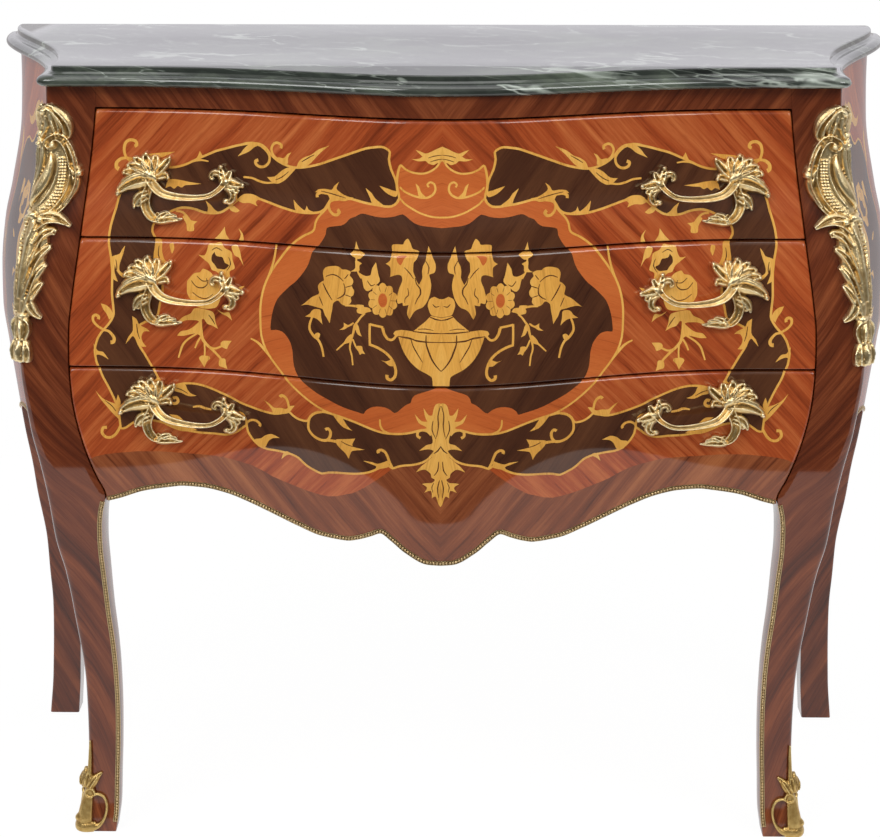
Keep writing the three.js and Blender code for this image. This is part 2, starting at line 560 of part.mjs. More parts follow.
// Drawers: bowed front, two sides, back and bottom
const apronZ = (share) => HEIGHT * apronProfile(Math.abs(share));
function drawerFront(level) {
  const top = drawerLines[level] - halfGap;
  const isLast = level === drawerLines.length - 1;
  const low = (share) => (isLast ? apronZ(share) : drawerLines[level + 1] + halfGap);
  const rows = levelsBetween(low(1), top).map((z) => (top - z) / (top - low(1)));
  const heights = (share) => rows.map((row) => top - row * (top - low(share)));
  return loft(frontStations.map((share) => frontSection(share, heights(share), stileX)), ladderTriangles);
}
const boxFront = (x, z) => frontY(x, z) + DRAWER_FRONT_THICKNESS + FIT;
const boxBack = backFace - DRAWER_BACK_GAP;
DRAWER_NAMES.forEach((name, level) => {
  const drawer = new THREE.Group();
  model.add(drawer);
  const slab = drawerFront(level);
  const front = cut(slab, [boltHole(level), mirrored(boltHole(level))]);
  addPiece(drawer, `drawer_${name}_front`, front, 'kingwood');

  const bottom = boardTops[level] + FIT;
  const ceiling = level === 0 ? bodyTop - TOP_BOARD_THICKNESS : boardTops[level - 1] - BOARD_THICKNESS;
  const top = ceiling - DRAWER_HEADROOM;
  const outer = boxHalfWidth;
  const inner = outer - DRAWER_BOARD_THICKNESS;
  const sideRing = (x) => [
    ...levelsBetween(bottom, top).map((z) => new THREE.Vector3(x, boxFront(outer, z), z)),
    new THREE.Vector3(x, boxBack, top),
    new THREE.Vector3(x, boxBack, bottom),
  ];
  addPair(drawer, `drawer_${name}_side`, loft([sideRing(inner), sideRing(outer)]), 'pine');

  const backBoard = block(-inner + FIT, inner - FIT, boxBack - DRAWER_BOARD_THICKNESS, boxBack, bottom, top);
  addPiece(drawer, `drawer_${name}_back`, backBoard, 'pine');

  const baseBottom = bottom + DRAWER_BASE_RAISE;
  const baseTop = baseBottom + DRAWER_BASE_THICKNESS;
  const baseRing = (z) => [
    ...spread(-inner + FIT, inner - FIT, BOARD_COLUMN_COUNT).map((x) => {
      const y = Math.max(boxFront(x, baseBottom), boxFront(x, baseTop)) + BOARD_SETBACK;
      return new THREE.Vector3(x, y, z);
    }),
    new THREE.Vector3(inner - FIT, boxBack - DRAWER_BOARD_THICKNESS - FIT, z),
    new THREE.Vector3(-inner + FIT, boxBack - DRAWER_BOARD_THICKNESS - FIT, z),
  ];
  addPiece(drawer, `drawer_${name}_bottom`, loft([baseRing(baseBottom), baseRing(baseTop)]), 'pine');

  addPair(drawer, `handle_${name}`, castPull(level, slab), 'brass');
  addPair(drawer, `bolt_${name}`, boltSolid(level), 'steel');

  if (level === 2) {
    const trim = loft(frontStations.map((share) => {
      const z = apronZ(share);
      const x = share * stileX(z);
      const face = frontY(x, z) - FIT;
      const high = z + TRIM_WIDTH;
      const highX = share * stileX(high);
      const highFace = frontY(highX, high) - FIT;
      return [
        new THREE.Vector3(x, face, z),
        new THREE.Vector3(x, face - TRIM_RISE, z),
        new THREE.Vector3(highX, highFace - TRIM_RISE, high),
        new THREE.Vector3(highX, highFace, high),
      ];
    }));
    addPiece(drawer, 'apron_trim', trim, 'brass');
  }
});

// Mounts that wrap the corner: rings in front of both faces, cut back to the leg behind them
function cornerRing(z, front, side, rise) {
  const arris = arrisX(z);
  const corner = cornerY(z);
  const onFront = (away, out) => {
    const x = arris - away;
    return new THREE.Vector3(x, frontY(x, z) - out, z);
  };
  const onSide = (away, out) => {
    const y = corner + away;
    return new THREE.Vector3(sideX(y, z) + out, y, z);
  };
  return [
    onFront(front, midpoint(0, rise)),
    onFront(midpoint(0, front), rise),
    new THREE.Vector3(arris + midpoint(0, rise), corner - midpoint(0, rise), z),
    onSide(midpoint(0, side), rise),
    onSide(side, midpoint(0, rise)),
    new THREE.Vector3(arris - front, corner + side, z),
  ];
}
const legCutter = frontLeg.clone().translate(FIT, -FIT, 0);
const [mountBottom, mountTop] = MOUNT_END_SHARES.map((share) => HEIGHT * share);
const cornerMount = loft(MOUNT_SHARES.map(([up, front, side, rise]) => cornerRing(
  mountBottom + (mountTop - mountBottom) * up,
  MOUNT_WIDTH * front, MOUNT_SIDE_WIDTH * side, MOUNT_RISE * rise,
)));
addPair(carcass, 'corner_mount', cut(cornerMount, [legCutter]), 'brass');
const sabot = loft(SABOT_SHARES.map(([up, front, side, rise]) => cornerRing(
  SABOT_HEIGHT * up, SABOT_WIDTH * front, SABOT_WIDTH * side, SABOT_RISE * rise,
)));
addPair(carcass, 'sabot', cut(sabot, [legCutter]), 'brass');

// Beaded trim up the inner front edge of each front leg
const legTrimHeights = levelsBetween(LEG_TRIM_BOTTOM, apronZ(1) - FIT);
addPair(carcass, 'leg_trim', loft(legTrimHeights.map((z) => {
  const edge = postX(z);
  const across = edge + TRIM_WIDTH;
  return [
    new THREE.Vector3(edge, frontY(edge, z) - FIT, z),
    new THREE.Vector3(edge, frontY(edge, z) - FIT - TRIM_RISE, z),
    new THREE.Vector3(across, frontY(across, z) - FIT - TRIM_RISE, z),
    new THREE.Vector3(across, frontY(across, z) - FIT, z),
  ];
})), 'brass');

// Beaded trim along the lower edge of each side
addPair(carcass, 'side_trim', loft(sideStations.map((share) => {
  const y = sideFront + (sideBack - sideFront) * share;
  const low = sideBottom(share);
  const high = low + TRIM_WIDTH;
  return [
    new THREE.Vector3(sideX(y, low) + FIT, y, low),
    new THREE.Vector3(sideX(y, low) + FIT + TRIM_RISE, y, low),
    new THREE.Vector3(sideX(y, high) + FIT + TRIM_RISE, y, high),
    new THREE.Vector3(sideX(y, high) + FIT, y, high),
  ];
})), 'brass');

// The origin is under the middle of the whole chest, on the floor
model.updateMatrixWorld(true);
const extent = new THREE.Box3().setFromObject(model);
model.position.y = -midpoint(extent.min.y, extent.max.y);

export default model;
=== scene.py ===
import math

import bpy
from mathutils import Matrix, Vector, geometry


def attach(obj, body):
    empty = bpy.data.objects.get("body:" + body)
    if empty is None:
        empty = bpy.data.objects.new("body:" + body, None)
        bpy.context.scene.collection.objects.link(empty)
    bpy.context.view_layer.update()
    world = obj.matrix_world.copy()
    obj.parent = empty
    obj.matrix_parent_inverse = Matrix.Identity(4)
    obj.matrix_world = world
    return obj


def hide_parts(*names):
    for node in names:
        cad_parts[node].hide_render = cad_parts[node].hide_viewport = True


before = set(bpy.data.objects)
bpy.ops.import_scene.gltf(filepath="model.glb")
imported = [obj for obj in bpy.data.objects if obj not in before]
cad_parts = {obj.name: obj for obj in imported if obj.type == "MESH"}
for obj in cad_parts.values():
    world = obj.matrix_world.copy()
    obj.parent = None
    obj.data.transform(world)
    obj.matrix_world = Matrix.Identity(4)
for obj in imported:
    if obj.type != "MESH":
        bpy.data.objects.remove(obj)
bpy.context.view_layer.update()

# The camera stands in front of the chest, a little above its top, and is tilted down at it.
# Its place, tilt and lens were worked out from the edges of the marble and the four feet.
camera_distance = 2.7689
camera_height = 1.1729
camera_tilt = 15.6613
camera_turn = 1.135
camera_lens = 103.1
picture_width = 880
axis_left_of_middle = 47.4
axis_under_middle = 40

bpy.ops.object.select_all(action="DESELECT")
bpy.ops.object.camera_add(
    location=(0, -camera_distance, camera_height),
    rotation=(math.radians(90 - camera_tilt), 0, math.radians(camera_turn)),
)
camera = bpy.context.object
camera.data.lens = camera_lens
camera.data.sensor_width = 36
camera.data.shift_x = axis_left_of_middle / picture_width
camera.data.shift_y = axis_under_middle / picture_width
bpy.context.scene.camera = camera
bpy.context.scene.view_settings.view_transform = "Standard"


# Front legs: stile and cabriole leg in one piece of beech, veneered with kingwood laid aslant.
# Each is an S-curved post with a soft arris, from the floor to the marble.
height = 0.860
marble_thickness = 0.0205
body_top = height - marble_thickness - 0.0003
body_depth = 0.405
belly_half_width = 0.447
rear_half_width = 0.5335
front_swell = 0.040
bow = 0.082
bow_end = belly_half_width * 0.895
drawer_side_gap = 0.001
drawer_lines = [height * share for share in (0.9494, 0.7936, 0.6349)]
middle_of_depth = 0.1535

# Height share, then the share of the swell, of the belly width or of the width at the back
front_profile = [
    (0, -0.075), (0.058, -0.3), (0.163, -0.5), (0.291, -0.3), (0.372, -0.075), (0.465, 0.25),
    (0.558, 0.55), (0.64, 0.7), (0.721, 0.59), (0.814, 0.28), (0.88, 0.04), (0.972, 0),
]
arris_profile = [
    (0, 0.905), (0.055, 0.89), (0.12, 0.883), (0.197, 0.885), (0.3, 0.906), (0.356, 0.921), (0.4, 0.94),
    (0.457, 0.952), (0.504, 0.966), (0.554, 0.984), (0.642, 1), (0.721, 0.99), (0.814, 0.961),
    (0.88, 0.933), (0.949, 0.926), (0.972, 0.925),
]
stile_profile = [
    (0, 0.812), (0.03, 0.8045), (0.07, 0.802), (0.11, 0.799), (0.17, 0.797), (0.215, 0.7984),
    (0.255, 0.8025), (0.3, 0.8105), (0.35, 0.817), (0.395, 0.822), (0.42, 0.821), (0.44, 0.8168),
    (0.4625, 0.8085), (0.489, 0.8283), (0.512, 0.8443), (0.539, 0.8592), (0.568, 0.871), (0.594, 0.8776),
    (0.637, 0.881), (0.683, 0.8787), (0.719, 0.87), (0.794, 0.848), (0.949, 0.8065), (0.972, 0.803),
]
rear_profile = [
    (0, 0.9295), (0.06, 0.9205), (0.171, 0.9145), (0.22, 0.9188), (0.266, 0.9222), (0.343, 0.9412),
    (0.384, 0.949), (0.436, 0.963), (0.534, 0.983), (0.573, 0.991), (0.624, 1), (0.677, 0.9985),
    (0.741, 0.987), (0.791, 0.968), (0.884, 0.942), (0.953, 0.938), (0.972, 0.938),
]
leg_back_profile = [
    (0, 0.58), (0.058, 0.71), (0.163, 0.82), (0.291, 0.81), (0.349, 0.84), (0.407, 0.9), (0.465, 1),
    (0.972, 1),
]


def faired(rows, column=1):
    """A smooth curve through rows of (place, value) that never swings past its rows."""
    steps = [(b[column] - a[column]) / (b[0] - a[0]) for a, b in zip(rows, rows[1:])]
    slopes = []
    for i in range(len(rows)):
        before, after = steps[max(i - 1, 0)], steps[min(i, len(steps) - 1)]
        slopes.append(2 * before * after / (before + after) if before * after > 0 else 0)

    def curve(place):
        at = min(max(place, rows[0][0]), rows[-1][0])
        i = 0
        while i < len(steps) - 1 and at > rows[i + 1][0]:
            i += 1
        span = rows[i + 1][0] - rows[i][0]
        t = (at - rows[i][0]) / span
        ease = t * t * (3 - 2 * t)
        lead = t * (1 - t) * (1 - t) * slopes[i] - t * t * (1 - t) * slopes[i + 1]
        return rows[i][column] * (1 - ease) + rows[i + 1][column] * ease + lead * span

    return curve


corner_curve = faired(front_profile)
arris_curve = faired(arris_profile)
stile_curve = faired(stile_profile)
rear_curve = faired(rear_profile)
leg_back_curve = faired(leg_back_profile)


def corner_y(z):
    return -front_swell * corner_curve(z / height) - middle_of_depth


def bow_share(x):
    return ((1 + math.cos(math.pi * min(abs(x) / bow_end, 1))) / 2) ** 1.8


def front_y(x, z):
    return corner_y(z) - bow * bow_share(x)


def arris_x(z):
    return belly_half_width * arris_curve(z / height)


def stile_x(z):
    return belly_half_width * stile_curve(z / height)


def rear_x(z):
    return rear_half_width * rear_curve(z / height)


def sweep(share):
    bent = min(max(share, 0), 1) ** 1.25
    return bent * bent * (3 - 2 * bent)


def side_x(y, z):
    front = corner_y(z)
    back = body_depth - middle_of_depth
    return arris_x(z) + (rear_x(z) - arris_x(z)) * sweep((y - front) / (back - front))


def spread(start, end, count):
    return [start + (end - start) * i / count for i in range(count + 1)]


def rounded(before, corner, after, count=4):
    """Points of a soft corner between two points that lie on its two faces."""
    curve = []
    for t in spread(0, 1, count):
        curve.append(tuple(
            (1 - t) ** 2 * a + 2 * t * (1 - t) * b + t * t * c for a, b, c in zip(before, corner, after)
        ))
    return curve


def take_up(piece):
    """Selects one piece alone, for the operators that follow."""
    bpy.ops.object.select_all(action="DESELECT")
    piece.select_set(True)
    bpy.context.view_layer.objects.active = piece


def finish_piece(piece, name, body, angle=35):
    """Names a piece, smooths it up to that angle, and lets it ride on a body."""
    piece.name = piece.data.name = name
    take_up(piece)
    bpy.ops.object.shade_smooth_by_angle(angle=math.radians(angle))
    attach(piece, body)


def flat_grid(columns, rows):
    """A flat grid a metre square, with a grain map."""
    bpy.ops.object.select_all(action="DESELECT")
    bpy.ops.mesh.primitive_grid_add(x_subdivisions=columns, y_subdivisions=rows, size=1, calc_uvs=True)
    return bpy.context.object


def wrapped_post(rings, first=0):
    """A grid wrapped round rings of points and filled at both ends. Its grain map starts at one point."""
    columns, rows = len(rings[0]), len(rings) - 1
    piece = flat_grid(columns, rows)
    mesh = piece.data
    places = {}
    for vertex in mesh.vertices:
        column = round((vertex.co.x + 0.5) * columns)
        row = round((vertex.co.y + 0.5) * rows)
        places[vertex.index] = (column, row)
        vertex.co = rings[row][column % columns]
    around = [0]
    middle = rings[len(rings) // 2]
    for i in range(columns):
        around.append(around[-1] + (Vector(middle[(i + 1) % columns]) - Vector(middle[i])).length)
    shift = rings[-1][first][0] - around[first]
    around = [place + shift for place in around]
    grain = mesh.uv_layers.active.data
    for loop in mesh.loops:
        column, row = places[loop.vertex_index]
        grain[loop.index].uv = (around[column], rings[row][0][2])
    bpy.ops.object.mode_set(mode="EDIT")
    bpy.ops.mesh.select_all(action="SELECT")
    bpy.ops.mesh.remove_doubles(threshold=0.00001)
    bpy.ops.mesh.select_all(action="DESELECT")
    bpy.ops.mesh.select_non_manifold()
    bpy.ops.mesh.edge_face_add()
    bpy.ops.mesh.select_all(action="SELECT")
    bpy.ops.mesh.normals_make_consistent(inside=False)
    bpy.ops.object.mode_set(mode="OBJECT")
    return piece


def copied(piece):
    """A copy of a piece, with a mesh of its own."""
    other = piece.copy()
    other.data = piece.data.copy()
    bpy.context.collection.objects.link(other)
    return other


def mirrored(piece):
    """A copy of a piece for the other side of the chest."""
    other = copied(piece)
    for vertex in other.data.vertices:
        vertex.co.x = -vertex.co.x
    take_up(other)
    bpy.ops.object.mode_set(mode="EDIT")
    bpy.ops.mesh.select_all(action="SELECT")
    bpy.ops.mesh.flip_normals()
    bpy.ops.object.mode_set(mode="OBJECT")
    return other


def finish_pair(right, name, node_name):
    """Finishes a right-hand piece and its mirror image, in place of the CAD nodes of both hands."""
    for piece, hand in ((right, "right"), (mirrored(right), "left")):
        finish_piece(piece, f"{name}_{hand}", "carcass")
        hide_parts(f"{node_name}_{hand}")


class Value:
    """A socket of a finish, which can be used in sums."""

    def __init__(self, finish, socket):
        self.finish = finish
        self.socket = socket

    def math(self, operation, first, second=0.0):
        return self.finish.node("ShaderNodeMath", {"operation": operation}, {0: first, 1: second})

    def __add__(self, other):
        return self.math("ADD", self, other)

    def __radd__(self, other):
        return self.math("ADD", other, self)

    def __sub__(self, other):
        return self.math("SUBTRACT", self, other)

    def __rsub__(self, other):
        return self.math("SUBTRACT", other, self)

    def __mul__(self, other):
        return self.math("MULTIPLY", self, other)

    def __rmul__(self, other):
        return self.math("MULTIPLY", other, self)

    def __abs__(self):
        return self.math("ABSOLUTE", self)


class Finish:
    """A material with one Principled shader, whose plain values are set here."""

    def __init__(self, name, **plain):
        self.material = bpy.data.materials.new(name)
        self.material.use_nodes = True
        self.shader = self.material.node_tree.nodes["Principled BSDF"]
        for socket, value in plain.items():
            self.shader.inputs[socket.replace("_", " ")].default_value = value

    def node(self, kind, settings, values, output=0):
        """Adds a node: its settings first, then the values or links of its sockets."""
        node = self.material.node_tree.nodes.new(kind)
        for name, setting in settings.items():
            if name == "stops":
                ramp = node.color_ramp.elements
                while len(ramp) < len(setting):
                    ramp.new(1)
                for stop, (place, colour) in zip(ramp, setting):
                    stop.position = place
                    stop.color = (*colour, 1)
            else:
                setattr(node, name, setting)
        for name, value in values.items():
            self.feed(node.inputs[name], value)
        return Value(self, node.outputs[output])

    def feed(self, socket, value):
        if isinstance(value, Value):
            self.material.node_tree.links.new(value.socket, socket)
        else:
            socket.default_value = value

    def paint(self, **fed):
        for socket, value in fed.items():
            self.feed(self.shader.inputs[socket.replace("_", " ")], value)

    def axes(self):
        """X, Y and Z of the piece, in metres."""
        place = self.node("ShaderNodeTexCoord", {}, {}, output="Object")
        parts = self.node("ShaderNodeSeparateXYZ", {}, {0: place}).socket.node
        return [Value(self, parts.outputs[i]) for i in range(3)]

    def point(self, x, y, z):
        return self.node("ShaderNodeCombineXYZ", {}, {0: x, 1: y, 2: z})

    def noise(self, place, detail=3.0, roughness=0.55, scale=1.0):
        values = {"Vector": place, "Scale": scale, "Detail": detail, "Roughness": roughness}
        return self.node("ShaderNodeTexNoise", {}, values)

    def ramp(self, value, stops):
        return self.node("ShaderNodeValToRGB", {"stops": stops}, {0: value})

    def mix(self, factor, first, second, blend="MIX"):
        settings = {"data_type": "RGBA", "blend_type": blend}
        return self.node("ShaderNodeMix", settings, {0: factor, 6: first, 7: second}, output=2)

    def bump(self, value, depth):
        return self.node("ShaderNodeBump", {}, {"Height": value, "Distance": depth, "Strength": 1.0})


def colour(red, green, blue):
    """A colour as it is seen, from 0 to 255, in the shader's own scale."""
    shades = (red / 255, green / 255, blue / 255)
    return tuple(c / 12.92 if c <= 0.04045 else ((c + 0.055) / 1.055) ** 2.4 for c in shades)


def wood(name, tones, slant, across=1.0, contrast=1.0, follows=None):
    """Polished wood. The grain runs aslant, mirrored about the middle of the chest."""
    finish = Finish(name, Roughness=0.4, Specular_IOR_Level=0.0,
                    Coat_Weight=1.0, Coat_Roughness=0.04, Coat_IOR=1.5)
    if follows:
        flat = finish.node("ShaderNodeUVMap", {"uv_map": follows}, {})
        parts = finish.node("ShaderNodeSeparateXYZ", {}, {0: flat}).socket.node
        x, z = Value(finish, parts.outputs[0]), Value(finish, parts.outputs[1])
        depth = 0.0
    else:
        x, depth, z = finish.axes()
    x = abs(x)
    lean = math.radians(slant)
    along = x * -math.cos(lean) + z * math.sin(lean)
    over = x * math.sin(lean) + z * math.cos(lean)
    drift = finish.noise(finish.point(along * 3.0, over * 5.0, depth * 3.0), 2.0) - 0.5
    waver = finish.noise(finish.point(along * 14.0, over * 20.0, depth * 9.0), 2.0) - 0.5
    over = over + drift * 0.026 + waver * 0.004
    broad = finish.noise(finish.point(along * 2.5, over * 48.0 * across, depth * 8.0), 3.0, 0.55)
    streak = finish.noise(finish.point(along * 7.0, over * 170.0 * across, depth * 20.0 + 3.0), 4.0, 0.65)
    hair = finish.noise(finish.point(along * 11.0, over * 560.0, depth * 40.0 + 7.0), 3.0, 0.6)
    pores = finish.noise(finish.point(along * 90.0, over * 1700.0, depth * 60.0), 2.0, 0.7)
    tone = broad * 0.5 + streak * 0.34 + hair * 0.16
    tone = (tone - 0.5) * contrast + 0.5
    dark, middle, light = (colour(*tone) for tone in tones)
    base = finish.ramp(tone, [(0.3, dark), (0.48, middle), (0.68, light)])
    thin = finish.ramp(streak * 0.55 + hair * 0.45, [(0.34, (0.55, 0.5, 0.47)), (0.43, (1, 1, 1))])
    fine = finish.ramp(pores, [(0.3, (0.74, 0.7, 0.68)), (0.5, (1, 1, 1))])
    base = finish.mix(0.6, base, finish.mix(1.0, base, thin, "MULTIPLY"))
    ripple = finish.noise(finish.point(along * 12.0, over * 40.0, depth * 12.0), 2.0)
    finish.paint(Base_Color=finish.mix(0.6, base, finish.mix(1.0, base, fine, "MULTIPLY")),
                 Normal=finish.bump(ripple, 0.0001))
    return finish.material


leg_wood = wood("kingwood on the legs", ((60, 25, 13), (98, 45, 23), (138, 74, 41)),
                slant=-52, across=0.8, contrast=1.3, follows="UVMap")
bolt_rebate = 0.062
arris_soft = 0.010
edge_soft = 0.0015
edge_sharp = 0.0002


def front_leg_ring(z):
    inner, arris, corner = stile_x(z) + drawer_side_gap, arris_x(z), corner_y(z)
    back = bolt_rebate * leg_back_curve(z / height) - middle_of_depth
    soft, edge = arris_soft, edge_soft
    crisp = edge if z < drawer_lines[0] else edge_sharp
    ring = [(inner, back - edge, z), (inner, front_y(inner, z) + crisp, z)]
    ring += rounded(
        (inner, front_y(inner, z) + crisp, z), (inner, front_y(inner, z), z),
        (inner + crisp, front_y(inner + crisp, z), z), 2,
    )[1:]
    ring += [(x, front_y(x, z), z) for x in spread(inner + crisp, arris - soft, 8)[1:]]
    ring += rounded(
        (arris - soft, front_y(arris - soft, z), z), (arris, corner, z),
        (side_x(corner + soft, z), corner + soft, z), 5,
    )[1:]
    ring += [(side_x(y, z), y, z) for y in spread(corner + soft, back - edge, 6)[1:]]
    ring += [(side_x(back, z) - edge, back, z), (inner + edge, back, z)]
    return ring


right_leg = wrapped_post([front_leg_ring(z) for z in spread(0, body_top, 150)], first=3)
right_leg.data.materials.append(leg_wood)
finish_pair(right_leg, "front_leg_and_stile", "front_leg")


# Rear legs: square posts of the same veneered beech, with a plain foot and no shoe.
# They stand against a wall, so their backs are flat.
rear_leg_sizes = [(0, 0.75), (0.07, 0.72), (0.171, 0.7), (0.3, 0.74), (0.4, 0.86), (0.48, 1), (0.972, 1)]
rear_post_width = 0.052
rear_post_depth = 0.050
rear_leg_curve = faired(rear_leg_sizes)


def rear_leg_ring(z):
    share, edge = rear_leg_curve(z / height), edge_soft
    back = body_depth - middle_of_depth
    front = back - rear_post_depth * share
    inner = rear_x(z) - rear_post_width * share
    ring = [(inner, back - edge, z), (inner, front + edge, z), (inner + edge, front, z)]
    ring += [(x, front, z) for x in spread(inner + edge, side_x(front, z) - edge, 4)[1:]]
    ring += [(side_x(y, z), y, z) for y in spread(front + edge, back - edge, 5)]
    ring += [(side_x(back, z) - edge, back, z), (inner + edge, back, z)]
    return ring


right_rear_leg = wrapped_post([rear_leg_ring(z) for z in spread(0, body_top, 120)])
right_rear_leg.data.materials.append(leg_wood)
finish_pair(right_rear_leg, "rear_leg_veneered", "rear_leg")


# Side panels: swept and swelling boards with a scalloped lower edge, which carry a veneer.
# A grid laid a veneer's thickness under the swept surface gets the thickness of the board.
side_thickness = 0.018
veneer_thickness = 0.001
side_front = 0.0623 - middle_of_depth
side_back = body_depth - 0.0503 - middle_of_depth
side_edge_profile = [
    (0, 0.467), (0.12, 0.482), (0.28, 0.489), (0.4, 0.479), (0.5, 0.468), (0.6, 0.479), (0.72, 0.489),
    (0.88, 0.482), (1, 0.467),
]
side_edge_curve = faired(side_edge_profile)


def laid_board(columns, rows, place, thickness):
    """A grid moved on to place(across, up), with its grain map in metres, then made a board."""
    piece = flat_grid(columns, rows)
    flat = {}
    for vertex in piece.data.vertices:
        spot, flat[vertex.index] = place(vertex.co.x + 0.5, vertex.co.y + 0.5)
        vertex.co = spot
    grain = piece.data.uv_layers.active.data
    for loop in piece.data.loops:
        grain[loop.index].uv = flat[loop.vertex_index]
    board = piece.modifiers.new("board", "SOLIDIFY")
    board.thickness = thickness
    board.offset = -1
    bpy.ops.object.modifier_apply(modifier=board.name)
    return piece


def side_place(along, up):
    y = side_front + (side_back - side_front) * along
    low = height * side_edge_curve(along)
    z = low + (body_top - low) * up
    return (side_x(y, z) - veneer_thickness, y, z), (y, z)


right_side = laid_board(60, 60, side_place, side_thickness - veneer_thickness)
right_side.data.materials.append(leg_wood)
finish_pair(right_side, "side_board", "side_panel")


# Frieze rail: the bowed strip between the marble and the top drawer.
# Its veneer meets in the middle, with the grain aslant to both sides.
half_gap = 0.001
frieze_play = 0.0001
front_thickness = 0.022


def frieze_place(along, up):
    low = drawer_lines[0] + half_gap
    z = low + (body_top - low) * up
    x = (along * 2 - 1) * (stile_x(z) + drawer_side_gap - frieze_play)
    return (x, front_y(x, z), z), (x, z)


frieze = laid_board(160, 8, frieze_place, front_thickness)
frieze.data.materials.append(leg_wood)
finish_piece(frieze, "frieze_veneered", "carcass")
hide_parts("frieze_rail")


# Marble top: one slab of dark green veined marble, with a bullnose under a thin upper lip.
# It is sawn to the bow of the front and the sweep of the sides, and polished.
marble_bow = 0.073
marble_nose = 0.017
marble_front = -0.016 - middle_of_depth
marble_back = body_depth + 0.012 - middle_of_depth
marble_side_overhang = 0.0075
marble_rear_overhang = 0.0185
marble_round = 0.014
marble_back_round = 0.004
# Height share of the slab and inset share of its nose, from the underside up
marble_edge = [(0, 0.42), (0.01, 0.3), (0.05, 0.16), (0.12, 0.06), (0.2, 0.01), (0.28, 0), (0.36, 0.02),
               (0.44, 0.08), (0.51, 0.18), (0.56, 0.3), (0.575, 0.4), (0.58, 0.52), (0.6, 0.62),
               (0.64, 0.7), (0.7, 0.75), (0.72, 0.8), (0.74, 0.805), (0.9, 0.805), (0.95, 0.82),
               (0.985, 0.87), (1, 0.95)]


def marble_ring(z, inset):
    front, back = marble_front + inset, marble_back
    corner = arris_x(body_top) + marble_side_overhang - inset
    rear = rear_x(body_top) + marble_rear_overhang - inset
    half = [(x, front - marble_bow * bow_share(x)) for x in spread(0, corner - marble_round, 60)]
    start = (corner + (rear - corner) * sweep(0), front + marble_round)
    half += rounded(half[-1], (corner, front), start, 6)[1:]
    for share in spread(0, 1, 40)[1:]:
        y = front + marble_round + (back - marble_back_round - front - marble_round) * share
        half.append((corner + (rear - corner) * sweep(share), y))
    half += rounded(half[-1], (rear, back), (rear - marble_back_round, back), 3)[1:]
    half += [(x, back) for x in spread(rear - marble_back_round, 0, 30)[1:-1]]
    right = [(x, y, z) for x, y in half]
    return right + [(-x, y, z) for x, y in reversed(half[1:])]


def green_marble():
    """Nearly black green, with pale veins that wander, fork and fade."""
    finish = Finish("dark green marble", Roughness=0.1, Coat_Weight=0.35, Coat_Roughness=0.02, Coat_IOR=1.5)
    x, y, z = finish.axes()
    lean = x * 0.8 + y * 1.4 + z * 5.0
    aside = x * 1.0 - y * 0.9 + z * 2.0
    drift = finish.noise(finish.point(x * 4.0, y * 4.0, z * 4.0), 4.0) - 0.5
    stray = finish.noise(finish.point(x * 14.0 + 5.0, y * 14.0, z * 14.0), 4.0) - 0.5

    def vein(scale, width, offset):
        place = finish.point(lean * scale + drift * 2.2 + offset, aside * scale * 0.5 + stray * 0.5, offset)
        off_middle = abs(finish.noise(place, 3.0, 0.45) - 0.5)
        return finish.ramp(off_middle, [(0.0, (1, 1, 1)), (width * 0.4, (0.75, 0.75, 0.75)),
                                        (width, (0, 0, 0))])

    patch = finish.noise(finish.point(x * 7.0 + 2.0, y * 9.0, z * 14.0), 3.0)
    gate = finish.ramp(patch, [(0.42, (0, 0, 0)), (0.56, (1, 1, 1))])
    other_gate = finish.ramp(patch, [(0.5, (1, 1, 1)), (0.6, (0, 0, 0))])
    bold = finish.mix(1.0, vein(5.0, 0.011, 1.0), gate, "MULTIPLY")
    thread = finish.mix(1.0, vein(13.0, 0.009, 6.0), other_gate, "MULTIPLY")
    cloud = finish.noise(finish.point(lean * 6.0 + stray * 2.0, aside * 4.0, 4.0), 6.0, 0.65)
    ground = finish.ramp(cloud, [(0.32, colour(27, 30, 28)), (0.5, colour(52, 58, 52)),
                                 (0.62, colour(80, 88, 76)), (0.75, colour(114, 124, 108))])
    pale = finish.mix(0.5, bold, thread, "ADD")
    finish.paint(Base_Color=finish.mix(pale, ground, (*colour(158, 166, 156), 1)))
    return finish.material


marble = wrapped_post([
    marble_ring(height - marble_thickness * (1 - rise), marble_nose * inset) for rise, inset in marble_edge
])
marble.data.materials.append(green_marble())
finish_piece(marble, "marble_slab", "carcass", angle=30)
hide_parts("marble_top")


# Drawer fronts: bowed boards under a skin of marquetry, a millimetre of veneer in five woods.
# All the woods lie flush. Each is cut to its outline, given here in millimetres from the middle
# and from the floor for the left half, and the right half mirrors it.
millimetre = 0.001
top_round, side_round, low_round = 0.0045, 0.0028, 0.0014
# Rows of points that carry the rounded edges, by their distance from the rim, and the points inside
rim_insets = (0.0003, 0.0008, 0.0014, 0.0021, 0.003, 0.0045)
inner_inset = 0.006
point_spacing = 0.0065
# The lines of boxwood are let in this much wider than they are given
line_gain = 1.3
apron_profile = [
    (0, 0.402), (0.035, 0.403), (0.1, 0.418), (0.137, 0.4316), (0.173, 0.442), (0.206, 0.4365),
    (0.24, 0.431), (0.274, 0.4278), (0.344, 0.43), (0.417, 0.4398), (0.492, 0.4525), (0.566, 0.465),
    (0.634, 0.4745), (0.703, 0.4795), (0.76, 0.4803), (0.811, 0.4775), (0.887, 0.4715), (0.96, 0.461),
    (1, 0.4565),
]
apron_curve = faired(apron_profile)

